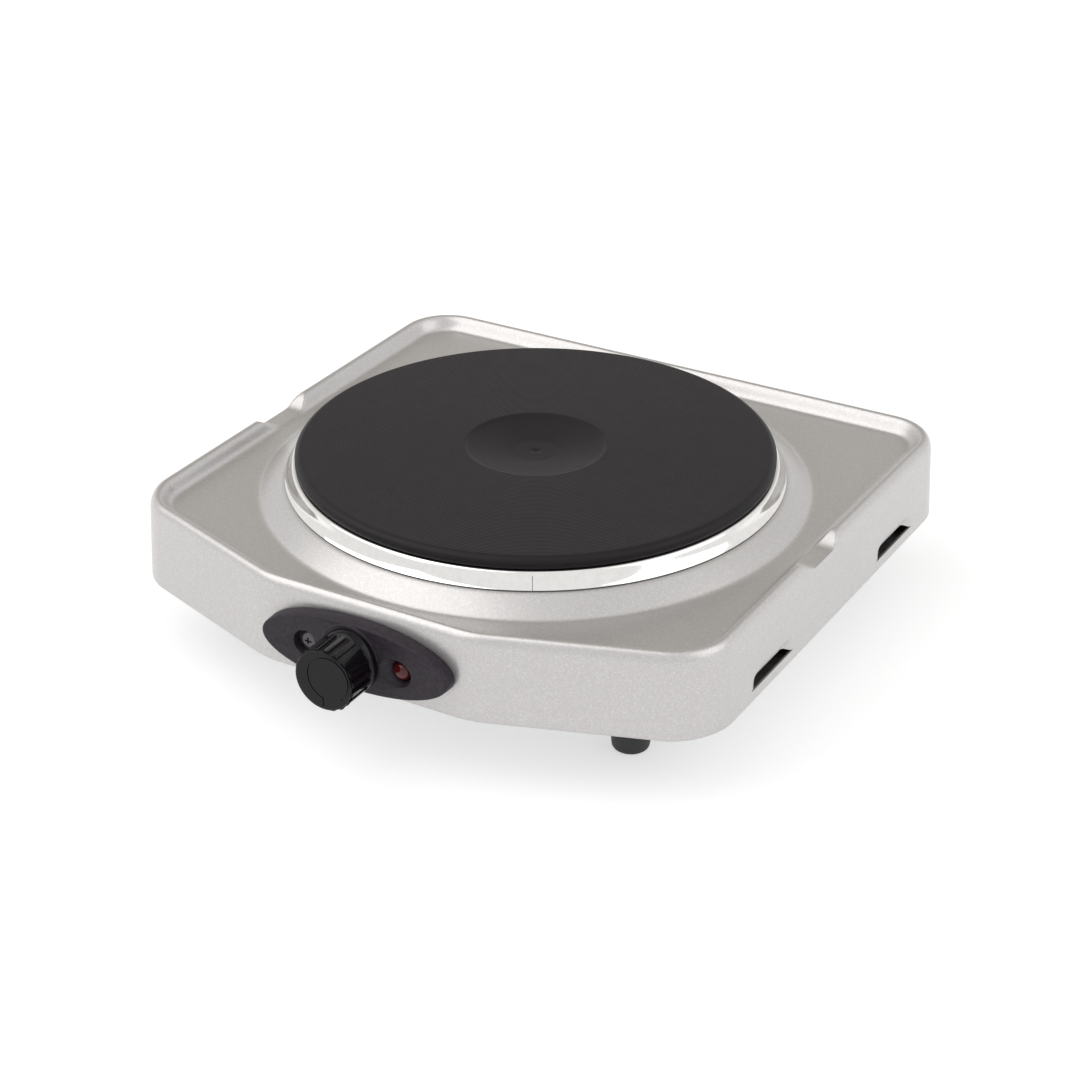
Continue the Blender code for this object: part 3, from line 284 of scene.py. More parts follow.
def makeGrainGroup():
    # fine even grain: a height, and a mask of scattered brighter flecks
    group, start, end = newGroup("fineGrain", [("Place", "NodeSocketVector", None),
                                               ("Grain Size", "NodeSocketFloat", 0.3),
                                               ("Fleck Share", "NodeSocketFloat", 0.5)],
                                 [("Height", "NodeSocketFloat"), ("Flecks", "NodeSocketFloat")])
    scale = mathNode(group, "DIVIDE", 1000.0, start.outputs["Grain Size"])
    noise = addNode(group, "ShaderNodeTexNoise")
    noise.inputs["Detail"].default_value = 2.0
    noise.inputs["Roughness"].default_value = 0.6
    group.links.new(start.outputs["Place"], noise.inputs["Vector"])
    group.links.new(scale, noise.inputs["Scale"])
    cells = addNode(group, "ShaderNodeTexVoronoi")
    group.links.new(start.outputs["Place"], cells.inputs["Vector"])
    group.links.new(scale, cells.inputs["Scale"])
    tone = addNode(group, "ShaderNodeSeparateColor")
    group.links.new(cells.outputs["Color"], tone.inputs["Color"])
    over = mathNode(group, "SUBTRACT", tone.outputs[0],
                    mathNode(group, "SUBTRACT", 1.0, start.outputs["Fleck Share"]))
    flecks = mathNode(group, "DIVIDE", mathNode(group, "MAXIMUM", over, 0.0), start.outputs["Fleck Share"])
    group.links.new(noise.outputs["Fac"], end.inputs["Height"])
    group.links.new(flecks, end.inputs["Flecks"])
    return group


def makeMottleGroup():
    # broad soft unevenness, 0 to 1
    group, start, end = newGroup("softMottle", [("Place", "NodeSocketVector", None),
                                                ("Patch Size", "NodeSocketFloat", 20.0),
                                                ("Contrast", "NodeSocketFloat", 1.0)],
                                 [("Tone", "NodeSocketFloat")])
    noise = addNode(group, "ShaderNodeTexNoise")
    noise.inputs["Detail"].default_value = 3.0
    noise.inputs["Roughness"].default_value = 0.5
    group.links.new(start.outputs["Place"], noise.inputs["Vector"])
    group.links.new(mathNode(group, "DIVIDE", 1000.0, start.outputs["Patch Size"]), noise.inputs["Scale"])
    centred = mathNode(group, "MULTIPLY", mathNode(group, "SUBTRACT", noise.outputs["Fac"], 0.5),
                       start.outputs["Contrast"])
    tone = mathNode(group, "ADD", centred, 0.5)
    group.links.new(tone, end.inputs["Tone"])
    return group


def makeGrooveGroup():
    # rings round the Z axis of the place it is given: a height and the distance from the axis in millimetres
    group, start, end = newGroup("turnedGrooves", [("Place", "NodeSocketVector", None),
                                                   ("Pitch", "NodeSocketFloat", 1.0)],
                                 [("Height", "NodeSocketFloat"), ("Radius", "NodeSocketFloat")])
    parts = addNode(group, "ShaderNodeSeparateXYZ")
    group.links.new(start.outputs["Place"], parts.inputs[0])
    squares = [mathNode(group, "POWER", parts.outputs[axis], 2.0) for axis in (0, 1)]
    radius = mathNode(group, "MULTIPLY", mathNode(group, "SQRT", mathNode(group, "ADD", *squares)), 1000.0)
    turns = mathNode(group, "DIVIDE", radius, start.outputs["Pitch"])
    wave = mathNode(group, "SINE", mathNode(group, "MULTIPLY", turns, 2.0 * math.pi))
    group.links.new(wave, end.inputs["Height"])
    group.links.new(radius, end.inputs["Radius"])
    return group


grainGroup = makeGrainGroup()
mottleGroup = makeMottleGroup()
grooveGroup = makeGrooveGroup()


# Finishes

def newFinish(name, roughness=0.5, metallic=0.0, **shaderValues):
    finish = bpy.data.materials.new(name)
    finish.use_nodes = True
    tree = finish.node_tree
    shader = tree.nodes["Principled BSDF"]
    shader.inputs["Roughness"].default_value = roughness
    shader.inputs["Metallic"].default_value = metallic
    for label, value in shaderValues.items():
        shader.inputs[label.replace("_", " ")].default_value = value
    place = addNode(tree, "ShaderNodeTexCoord", (-1200, 0)).outputs["Object"]
    return finish, tree, shader, place


def useGroup(tree, group, place, **values):
    node = addNode(tree, "ShaderNodeGroup", node_tree=group)
    tree.links.new(place, node.inputs["Place"])
    for label, value in values.items():
        node.inputs[label.replace("_", " ")].default_value = value
    return node


def blendColours(tree, mask, first, second):
    node = addNode(tree, "ShaderNodeMix", data_type="RGBA")
    tree.links.new(mask, node.inputs[0])
    node.inputs[6].default_value = (*first, 1.0)
    node.inputs[7].default_value = (*second, 1.0)
    return node.outputs[2]


def addBump(tree, shader, height, distance, strength=1.0, under=None):
    bump = addNode(tree, "ShaderNodeBump")
    bump.inputs["Distance"].default_value = distance * mm
    bump.inputs["Strength"].default_value = strength
    tree.links.new(height, bump.inputs["Height"])
    if under is not None:
        tree.links.new(under, bump.inputs["Normal"])
    tree.links.new(bump.outputs["Normal"], shader.inputs["Normal"])
    return bump.outputs["Normal"]


paintLook = {"dark": (0.485, 0.470, 0.462), "light": (0.530, 0.514, 0.506), "fleck": (0.70, 0.69, 0.68),
             "grainSize": 0.34, "grainDepth": 0.007, "roughness": 0.34, "metallic": 0.78}


def makeSilverPaint():
    finish, tree, shader, place = newFinish("silverPaint", paintLook["roughness"], paintLook["metallic"],
                                            Coat_Weight=0.25, Coat_Roughness=0.22)
    grain = useGroup(tree, grainGroup, place, Grain_Size=paintLook["grainSize"], Fleck_Share=0.35)
    mottle = useGroup(tree, mottleGroup, place, Patch_Size=1.1, Contrast=1.5)
    base = addNode(tree, "ShaderNodeMix", data_type="RGBA")
    tree.links.new(mottle.outputs["Tone"], base.inputs[0])
    base.inputs[6].default_value = (*paintLook["dark"], 1.0)
    base.inputs[7].default_value = (*paintLook["light"], 1.0)
    top = addNode(tree, "ShaderNodeMix", data_type="RGBA")
    tree.links.new(remap(tree, grain.outputs["Flecks"], 0.0, 1.0, 0.0, 0.5), top.inputs[0])
    tree.links.new(base.outputs[2], top.inputs[6])
    top.inputs[7].default_value = (*paintLook["fleck"], 1.0)
    tree.links.new(top.outputs[2], shader.inputs["Base Color"])
    broad = useGroup(tree, mottleGroup, place, Patch_Size=30.0, Contrast=1.0)
    tree.links.new(remap(tree, broad.outputs["Tone"], 0.2, 0.8, paintLook["roughness"] - 0.03,
                         paintLook["roughness"] + 0.03), shader.inputs["Roughness"])
    addBump(tree, shader, grain.outputs["Height"], paintLook["grainDepth"])
    return finish


ironLook = {"dark": (0.0062, 0.0050, 0.0058), "light": (0.0105, 0.0085, 0.0098), "groovePitch": 1.0,
            "grooveDepth": 0.032, "roughness": 0.46, "recess": 27.0, "grooveEnd": 87.0}


def makeIronBlack():
    finish, tree, shader, place = newFinish("ironBlack", ironLook["roughness"], 0.0,
                                            Specular_IOR_Level=0.21)
    centred = addNode(tree, "ShaderNodeMapping")
    centred.inputs["Location"].default_value = (0.0, -plateY * mm, 0.0)
    tree.links.new(place, centred.inputs["Vector"])
    grooves = useGroup(tree, grooveGroup, centred.outputs[0], Pitch=ironLook["groovePitch"])
    inside = mathNode(tree, "GREATER_THAN", grooves.outputs["Radius"], ironLook["recess"])
    outside = mathNode(tree, "LESS_THAN", grooves.outputs["Radius"], ironLook["grooveEnd"])
    turned = mathNode(tree, "MULTIPLY", inside, outside)
    height = mathNode(tree, "MULTIPLY", grooves.outputs["Height"], turned)
    grain = useGroup(tree, grainGroup, place, Grain_Size=0.5, Fleck_Share=0.2)
    mottle = useGroup(tree, mottleGroup, place, Patch_Size=8.0, Contrast=1.2)
    tree.links.new(blendColours(tree, mottle.outputs["Tone"], ironLook["dark"], ironLook["light"]),
                   shader.inputs["Base Color"])
    tree.links.new(remap(tree, grain.outputs["Height"], 0.2, 0.8, ironLook["roughness"] - 0.06,
                         ironLook["roughness"] + 0.06), shader.inputs["Roughness"])
    rough = addBump(tree, shader, grain.outputs["Height"], 0.03, 0.6)
    addBump(tree, shader, height, ironLook["grooveDepth"], 1.0, rough)
    return finish


def makeSteel(name, colour, roughness, spread, streakAxis=None, metallic=1.0):
    # bare or plated metal with slightly uneven gloss
    finish, tree, shader, place = newFinish(name, roughness, metallic)
    stretched = place
    if streakAxis is not None:
        mapping = addNode(tree, "ShaderNodeMapping")
        scale = [1.0, 1.0, 1.0]
        scale[streakAxis] = 0.03
        mapping.inputs["Scale"].default_value = scale
        tree.links.new(place, mapping.inputs["Vector"])
        stretched = mapping.outputs[0]
    mottle = useGroup(tree, mottleGroup, stretched, Patch_Size=2.5, Contrast=1.4)
    darker = [0.88 * part for part in colour]
    tree.links.new(blendColours(tree, mottle.outputs["Tone"], darker, colour), shader.inputs["Base Color"])
    tree.links.new(remap(tree, mottle.outputs["Tone"], 0.0, 1.0, roughness - spread, roughness + spread),
                   shader.inputs["Roughness"])
    return finish


def makeMoulded(name, dark, light, roughness, grainSize, grainDepth, **shaderValues):
    # moulded plastic, rubber or ceramic with its own surface grain
    finish, tree, shader, place = newFinish(name, roughness, 0.0, **shaderValues)
    grain = useGroup(tree, grainGroup, place, Grain_Size=grainSize, Fleck_Share=0.3)
    mottle = useGroup(tree, mottleGroup, place, Patch_Size=4.0 * grainSize, Contrast=1.5)
    tree.links.new(blendColours(tree, mottle.outputs["Tone"], dark, light), shader.inputs["Base Color"])
    tree.links.new(remap(tree, grain.outputs["Height"], 0.2, 0.8, roughness - 0.05, roughness + 0.05),
                   shader.inputs["Roughness"])
    addBump(tree, shader, grain.outputs["Height"], grainDepth)
    return finish


def makeLensRed():
    finish, tree, shader, place = newFinish("lensRed", 0.16, 0.0, Transmission_Weight=0.3, IOR=1.49,
                                            Coat_Weight=0.1, Coat_Roughness=0.05, Specular_IOR_Level=0.3)
    mottle = useGroup(tree, mottleGroup, place, Patch_Size=3.0, Contrast=1.6)
    tree.links.new(blendColours(tree, mottle.outputs["Tone"], (0.052, 0.002, 0.003), (0.12, 0.006, 0.007)),
                   shader.inputs["Base Color"])
    return finish


finishes = {"silver_paint": makeSilverPaint(), "cast_iron": makeIronBlack(),
            "stainless_steel": makeSteel("polishedSteel", (0.86, 0.85, 0.83), 0.07, 0.02),
            "galvanised_sheet": makeSteel("galvanisedSheet", (0.56, 0.57, 0.57), 0.42, 0.1),
            "zinc_steel": makeSteel("zincSteel", (0.66, 0.66, 0.64), 0.3, 0.08),
            "resistance_wire": makeSteel("resistanceWire", (0.32, 0.29, 0.27), 0.55, 0.1),
            "brass": makeSteel("brassParts", (0.74, 0.56, 0.26), 0.3, 0.08),
            "panel_plastic": makeMoulded("panelPlastic", (0.013, 0.0100, 0.0135), (0.033, 0.026, 0.035),
                                         0.46, 0.42, 0.16, Specular_IOR_Level=0.22),
            "knob_plastic": makeMoulded("knobPlastic", (0.003, 0.0024, 0.0034), (0.0055, 0.0046, 0.0062),
                                        0.17, 0.3, 0.005, Specular_IOR_Level=0.22),
            "rubber": makeMoulded("footRubber", (0.012, 0.012, 0.013), (0.022, 0.022, 0.023), 0.6, 0.4,
                                  0.03), "ceramic": makeMoulded("ceramicBody", (0.74, 0.70, 0.62),
                                                                (0.84, 0.80, 0.72), 0.7, 0.4, 0.03),
            "lead_sleeve": makeMoulded("wovenSleeve", (0.62, 0.60, 0.54), (0.80, 0.78, 0.72), 0.85, 0.3,
                                       0.08), "lamp_lens": makeLensRed(),
            # dark steel for the panel screw: painted shade of the recess it sits in, not the screw's own
            # finish
            "blackened_steel": makeSteel("shadeDarkenedSteel", (0.10, 0.095, 0.10), 0.32, 0.06, None, 0.8), }
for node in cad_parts.values():
    for slot in node.material_slots:
        slot.material = finishes[slot.material.name.split(".")[0]]
print("finishes made")


# The pressed housing: wall, rolled rim, deck, boss, spill notches and vents

shell = {"skirtStart": 12.3, "wallTop": 38.5, "wallLean": 1.2, "rim": 44.3, "deck": 39.0, "sheet": 0.8,
         "lip": 4.0, "facetHalf": 42.2, "setback": 27.3, "cornerRadii": (30.0, 24.0, 22.0),
         "rollDepth": 2.9, "rollSteps": 7, "notchMiddle": -1.0, "notchTop": 17.0, "notchFloor": 6.5,
         "notchHeight": 39.6, "ventStarts": (-60.0, 47.0), "ventLength": 33.5, "ventFoot": 16.0,
         "hoodIn": 2.0, "hoodUp": 2.9, "hoodEnd": 7.0, "bossFoot": 104.6, "bossHole": 86.5}
for height in ("skirtStart", "wallTop", "rim", "deck", "notchHeight", "ventFoot"):
    shell[height] += datum
# how the hood's rows move, as (height over the slit, share of the way in, share of the way up)
hoodRows = ((0.0, 1.0, 1.0), (1.3, 0.97, 0.86), (2.6, 0.84, 0.62), (3.8, 0.55, 0.34), (4.9, 0.22, 0.12))
# rim section inside the crest, as (further inset, drop from the crest)
rimInside = ((0.7, 0.05), (0.6, 0.3), (0.6, 0.55), (0.6, 0.8), (0.6, 0.95), (0.6, 0.95), (0.6, 0.75),
             (0.6, 0.5), (0.7, 0.33), (0.8, 0.12), (1.0, 0.0))


def leanAt(height):
    return shell["wallLean"] * (height - shell["skirtStart"]) / (shell["wallTop"] - shell["skirtStart"])


def makeOutline():
    # a plane becomes the six-sided outline, with its corners rounded
    startY = frontY + shell["setback"]
    width = 2.0 * halfWidth
    length = backY - startY
    clearPick()
    bpy.ops.mesh.primitive_plane_add(size=width * mm, location=(0.0, (startY + backY) / 2 * mm,
                                                                shell["skirtStart"] * mm))
    piece = editFresh("housingShell")
    scaleBy(1.0, length / width, 1.0, (0.0, (startY + backY) / 2, shell["skirtStart"]))
    pick("EDGE", lambda place, edge: place.y < startY + 0.1)
    extrudeBy(0.0, -shell["setback"], 0.0)
    scaleBy(shell["facetHalf"] / halfWidth, 1.0, 1.0)
    pick("EDGE", lambda place, edge: abs(place.y - startY) < 0.1)
    bpy.ops.mesh.dissolve_edges(use_verts=False)
    turn = math.atan2(shell["setback"], halfWidth - shell["facetHalf"])
    corners = zip((frontY, startY, backY), shell["cornerRadii"], (turn, math.pi / 2 - turn, math.pi / 2),
                  (6, 10, 12))
    for y, radius, angle, segments in corners:
        pick("VERT", lambda place, vert: abs(place.y - y) < 0.1)
        bpy.ops.mesh.bevel(offset_type="OFFSET", offset=radius * math.tan(angle / 2) * mm,
                           segments=segments, affect="VERTICES")
    return piece


def raiseWallAndRim():
    pick("FACE", lambda place, face: True)
    foot = shell["ventFoot"]
    heights = [foot] + [foot + row[0] for row in hoodRows[1:]] + [foot + 6.2, foot + 14.0, shell["wallTop"]]
    inset, height = 0.0, shell["skirtStart"]
    for target in heights:
        insetBy(leanAt(target) - inset, target - height)
        inset, height = leanAt(target), target
    rise = shell["rim"] - shell["wallTop"]
    for step in range(1, shell["rollSteps"] + 1):
        angle = math.pi / 2 * step / shell["rollSteps"]
        target = (shell["wallLean"] + shell["rollDepth"] * (1.0 - math.cos(angle)),
                  shell["wallTop"] + rise * math.sin(angle))
        insetBy(target[0] - inset, target[1] - height)
        inset, height = target
    for step, drop in rimInside:
        insetBy(step, -drop)
    insetBy(1.0)


def turnInLip():
    pick("EDGE", lambda place, edge: edge.is_boundary)
    bpy.ops.mesh.edge_face_add()
    pick("FACE", lambda place, face: place.z < shell["skirtStart"] + 0.01)
    form = bmesh.from_edit_mesh(bpy.context.edit_object.data)
    if [face for face in form.faces if face.select][0].normal.z > 0:
        bpy.ops.mesh.flip_normals()
    for step, drop in ((0.12, 0.45), (0.38, 0.5), (0.8, 0.35), (shell["lip"] - 1.3, 0.0)):
        insetBy(step, drop)
    bpy.ops.mesh.delete(type="FACE")


def sideFaces(place, face):
    straight = frontY + shell["setback"] + 15.0 < place.y < backY - shell["cornerRadii"][2]
    return abs(place.x) > halfWidth - 12.5 and straight and len(face.verts) < 60


def addStations(stations):
    for y in stations:
        pick("FACE", sideFaces)
        bpy.ops.mesh.bisect(plane_co=(0.0, y * mm, 0.0), plane_no=(0.0, 1.0, 0.0), use_fill=False)


def notchEnvelope(y):
    away = abs(y - plateY - shell["notchMiddle"])
    share = smooth((away - shell["notchFloor"]) / (shell["notchTop"] - shell["notchFloor"]))
    return shell["notchHeight"] + (shell["rim"] - shell["notchHeight"]) * share


def lowerNotch(stations):
    for y in stations:
        level = notchEnvelope(y)
        found = pick("VERT", lambda place, vert: abs(place.y - y) < 0.01 and abs(place.x) > halfWidth - 12.5
                     and place.z > level + 0.001)
        if found:
            scaleBy(1.0, 1.0, 0.0, (0.0, y, level))


def pressVents():
    foot = shell["ventFoot"]
    for start in shell["ventStarts"]:
        first = plateY + start
        last = first + shell["ventLength"]
        pick("EDGE", lambda place,
             edge: abs(edge.verts[0].co.z / mm - foot) < 0.01 and abs(edge.verts[1].co.z / mm - foot) < 0.01
             and first < place.y < last and abs(place.x) > halfWidth - 3.0)
        bpy.ops.mesh.edge_split(type="EDGE")
        for y in ventStations(start)[1:-1]:
            closing = smooth(min(y - first, last - y) / shell["hoodEnd"])
            for over, inShare, upShare in hoodRows:
                pick("VERT", lambda place,
                     vert: abs(place.y - y) < 0.01 and abs(place.z - foot - over) < 0.02
                     and abs(place.x) > halfWidth - 1.2
                     and max(face.calc_center_median().z for face in vert.link_faces) / mm > foot)
                at = halfWidth - leanAt(foot + over)
                scaleBy(1.0 - shell["hoodIn"] * inShare * closing / at, 1.0, 1.0)
                moveBy(0.0, 0.0, shell["hoodUp"] * upShare * closing)


def ventStations(start):
    first = plateY + start
    last = first + shell["ventLength"]
    ends = [step * shell["hoodEnd"] / 4 for step in range(5)]
    return [first + step for step in ends] + [last - step for step in reversed(ends)]


def addBoss():
    deck = shell["deck"]
    pick("FACE", lambda place, face: len(face.verts) > 60 and abs(place.z - deck) < 0.5)
    bpy.ops.mesh.delete(type="ONLY_FACE")
    foot = shell["bossFoot"]
    profile = [(foot + 2.0, deck), (foot + 0.8, deck), (foot - 0.1, deck + 0.06), (foot - 0.9, deck + 0.24),
               (foot - 1.5, deck + 0.52), (foot - 1.95, deck + 0.84), (foot - 2.4, deck + 1.14),
               (foot - 3.2, deck + 1.7), (foot - 5.5, deck + 3.24), (foot - 8.8, deck + 5.44),
               (foot - 9.4, deck + 5.8), (foot - 10.1, deck + 6.1), (foot - 10.9, deck + 6.3),
               (foot - 11.8, deck + 6.39), (foot - 13.5, deck + 6.4), (shell["bossHole"], deck + 6.4)]
    bpy.ops.mesh.select_all(action="DESELECT")
    bpy.ops.mesh.select_mode(type="VERT")
    bpy.ops.mesh.primitive_circle_add(vertices=192, radius=profile[0][0] * mm,
                                      location=(0.0, plateY * mm, deck * mm))
    turnOn(profile, plateCentre)
    pick("EDGE", lambda place, edge: edge.is_boundary and abs(place.z - deck) < 0.7 and place.z < deck + 0.7
         and min(abs(vert.co.z / mm - deck) for vert in edge.verts) < 0.7)
    bpy.ops.mesh.fill(use_beauty=True)


def cutHole(piece, radius, place, length=12.0, sides=40):
    clearPick()
    bpy.ops.mesh.primitive_cylinder_add(vertices=sides, radius=radius * mm, depth=length * mm,
                                        location=tuple(Vector(place) * mm),
                                        rotation=(math.pi / 2, 0.0, 0.0))
    cutter = editFresh("cutter")
    toObjectMode()
    joinOrCut(piece, cutter)


def makeHousing():
    piece = makeOutline()
    raiseWallAndRim()
    turnInLip()
    notchStations = [plateY + shell["notchMiddle"] + 1.0 * step for step in range(-17, 18)]
    addStations(notchStations)
    for start in shell["ventStarts"]:
        addStations(ventStations(start))
    lowerNotch(notchStations)
    pressVents()
    addBoss()
    toObjectMode()
    tidyNormals(piece)
    sheet = piece.modifiers.new("sheet", "SOLIDIFY")
    sheet.thickness = shell["sheet"] * mm
    sheet.offset = -1.0
    sheet.use_even_offset = True
    applyModifier(piece, sheet)
    lamp = middleOf("pilot_lamp_lens")
    screw = middleOf("bezel_screw")
    gland = middleOf("cord_gland")
    cutHole(piece, 3.6, (knobX, frontY, knobZ))
    cutHole(piece, 3.7, (lamp.x, frontY, lamp.z))
    cutHole(piece, 1.9, (screw.x, frontY, screw.z))
    cutHole(piece, 7.3, (gland.x, backY, gland.z))
    finishPiece(piece, finishes["silver_paint"], "housing", ["top_housing"], 40.0)


makeHousing()
print("housing made")


# The cast iron plate

plate = {"radius": 90.0, "rim": 4.2, "recess": 26.5, "recessDepth": 3.0, "floor": 8.75, "skirt": 84.0,
         "skirtDepth": 18.0}


def makePlate():
    top = plateTop
    edge = plate["radius"]
    low = top - plate["recessDepth"]
    profile = [(0.5, low - 0.4), (1.0, low - 0.36), (1.6, low - 0.12), (2.2, low), (3.0, low),
               (plate["floor"] - 0.6, low), (plate["floor"], low + 0.04),
               (plate["floor"] + 0.8, low + 0.14), (17.0, top - 1.88), (24.6, top - 0.72),
               (25.5, top - 0.52), (26.1, top - 0.22), (plate["recess"], top - 0.05),
               (plate["recess"] + 0.5, top), (28.0, top), (edge - 3.2, top), (edge - 2.3, top),
               (edge - 1.9, top - 0.04), (edge - 1.3, top - 0.3), (edge - 0.8, top - 0.6),
               (edge - 0.3, top - 1.1), (edge, top - 1.7), (edge, top - plate["rim"] + 0.4),
               (edge - 0.3, top - plate["rim"]), (plate["skirt"], top - plate["rim"]),
               (plate["skirt"], top - plate["skirtDepth"]), (80.5, top - plate["skirtDepth"]),
               (80.5, top - 7.5), (14.0, top - 7.5), (14.0, top - 11.0), (3.3, top - 11.0),
               (3.3, top - 6.2)]
    piece = turnPiece("castPlate", profile, 192, plateCentre)
    tidyNormals(piece)
    finishPiece(piece, finishes["cast_iron"], "housing", ["cast_iron_plate"], 50.0)


ring = {"seamTurn": -60.6, "seamWidth": 0.18, "seamFoot": 4.6}


def makeSpillRing():
    foot, top = ringLow.z, ringHigh.z
    outer = ringHigh.x
    outside = [(84.4, top), (89.2, top), (90.2, top - 0.03), (90.9, top - 0.22), (91.25, top - 0.6),
               (91.5, top - 1.2), (91.9, top - 2.3), (92.4, top - 3.5), (93.0, top - 4.6),
               (93.5, top - 5.3), (outer, foot)]
    inside = [(outer - 0.7, foot), (92.8, top - 5.1), (92.3, top - 4.5), (91.7, top - 3.4),
              (91.2, top - 2.3), (90.8, top - 1.3), (90.5, top - 0.9), (90.1, top - 0.72),
              (89.2, top - 0.7), (84.4, top - 0.7)]
    piece = turnPiece("spillRing", outside + inside, 192, plateCentre, "ring")
    tidyNormals(piece)
    # the butt joint in the ring's flare
    turn = math.radians(ring["seamTurn"])
    reach = outer - 1.2
    clearPick()
    bpy.ops.mesh.primitive_cube_add(size=1.0 * mm, rotation=(0.0, 0.0, turn),
                                    scale=(4.0, ring["seamWidth"], ring["seamFoot"]),
                                    location=(reach * math.cos(turn) * mm,
                                              (plateY + reach * math.sin(turn)) * mm,
                                              (foot - 0.2 + ring["seamFoot"] / 2) * mm))
    seam = editFresh("seam")
    toObjectMode()
    joinOrCut(piece, seam)
    finishPiece(piece, finishes["stainless_steel"], "housing", ["trim_ring"], 60.0)


makePlate()
makeSpillRing()
print("plate and ring made")


# The control panel and its knob

panel = {"halfWidth": (bezelHigh.x - bezelLow.x) / 2, "halfHeight": (bezelHigh.z - bezelLow.z) / 2,
         "proud": 4.5, "middle": (bezelLow + bezelHigh) / 2, "bossRadius": 12.0, "bossShift": (-1.2, 0.8),
         "bossRise": 0.9, "lampMouth": (6.6, 5.5), "lampShift": -1.6, "lampDepth": 3.6, "screwRecess": 4.9,
         "screwDepth": 3.4}


def makeLampFunnel(lampX, lampY, proud, floor):
    # the lamp's recess is an oval at its mouth and round at its floor, off to one side
    mouthWide, mouthHigh = panel["lampMouth"]
    middleX = lampX + panel["lampShift"]
    top = proud + panel["bossRise"] + 1.0
    clearPick()
    bpy.ops.mesh.primitive_circle_add(vertices=72, radius=mouthWide * mm,
                                      location=(middleX * mm, lampY * mm, top * mm))
    funnel = editFresh("lampFunnel")
    scaleBy(1.0, mouthHigh / mouthWide, 1.0, (middleX, lampY, top))
    wide, high, level, x = mouthWide, mouthHigh, top, middleX
    bore = 3.7
    for share, height in ((0.0, proud + 0.3), (0.12, proud - 0.3), (0.5, proud - 1.2), (0.8, proud - 2.0),
                          (1.0, floor), (1.0, -3.0)):
        nextWide, nextHigh = mouthWide + (bore - mouthWide) * share, mouthHigh + (bore - mouthHigh) * share
        nextX = middleX - panel["lampShift"] * share
        extrudeBy(nextX - x, 0.0, height - level)
        scaleBy(nextWide / wide, nextHigh / high, 1.0, (nextX, lampY, height))
        wide, high, level, x = nextWide, nextHigh, height, nextX
    pick("EDGE", lambda place, edge: edge.is_boundary)
    bpy.ops.mesh.fill_holes(sides=0)
    toObjectMode()
    return funnel


def makeBezel():
    wide, high = panel["halfWidth"], panel["halfHeight"]
    proud = panel["proud"]
    clearPick()
    bpy.ops.mesh.primitive_circle_add(vertices=144, radius=wide * mm, location=(0.0, 0.0, -0.3 * mm))
    piece = editFresh("panelBezel")
    scaleBy(1.0, high / wide, 1.0)
    bpy.ops.transform.rotate(value=math.atan2(shell["wallLean"], shell["wallTop"] - shell["skirtStart"]),
                             orient_axis="X", center_override=(0.0, 0.0, -0.3 * mm))
    steps = ((0.2, proud - 0.75), (0.32, proud - 0.42), (0.52, proud - 0.18), (0.8, proud - 0.04),
             (1.1, proud), (1.8, proud))
    inset = 0.0
    for target, height in steps:
        extrudeBy(0.0, 0.0, 0.0)
        scaleBy((wide - target) / (wide - inset), (high - target) / (high - inset), 0.0, (0.0, 0.0, height))
        inset = target
    pick("EDGE", lambda place, edge: edge.is_boundary)
    bpy.ops.mesh.fill_holes(sides=0)
    toObjectMode()
    tidyNormals(piece)
    bossTop = proud + panel["bossRise"]
    bossRadius = panel["bossRadius"]
    boss = turnPiece("boss", [(bossRadius, proud - 0.9), (bossRadius, bossTop - 0.45),
                              (bossRadius - 0.12, bossTop - 0.2), (bossRadius - 0.4, bossTop - 0.04),
                              (bossRadius - 0.8, bossTop), (bossRadius - 1.6, bossTop)], 128,
                     panel["bossShift"])
    joinOrCut(piece, boss, "UNION")
    lamp = middleOf("pilot_lamp_lens") - panel["middle"]
    screwX = middleOf("bezel_screw").x - panel["middle"].x
    floor = proud - panel["lampDepth"]
    joinOrCut(piece, makeLampFunnel(lamp.x, lamp.z, proud, floor))
    floor = proud - panel["screwDepth"]
    screwCut = turnPiece("screwCut", [(panel["screwRecess"] + 0.3, proud + 0.3),
                                      (panel["screwRecess"], proud - 0.2), (panel["screwRecess"], floor),
                                      (1.9, floor), (1.9, -3.0)], 64, (screwX, 0.0))
    joinOrCut(piece, screwCut)
    shaftCut = turnPiece("shaftCut", [(3.9, bossTop + 1.0), (3.9, -3.0)], 48)
    joinOrCut(piece, shaftCut)
    bevelPiece(piece, 0.22, 2, 50.0)
    placePiece(piece, (panel["middle"].x, frontY, panel["middle"].z), "front")
    finishPiece(piece, finishes["panel_plastic"], "housing", ["control_bezel"], 35.0)


knob = {"ribs": 18, "radius": 11.7, "ribDepth": 0.8, "collar": 11.7, "back": frontY - knobHigh.y,
        "reach": frontY - knobLow.y, "face": 11.2, "mark": 8.2, "markWidth": 0.42, "markDepth": 0.3,
        "markMiddle": (2.2, 1.3), "markEnds": (-52.0, 254.0), "markTail": 3.3}


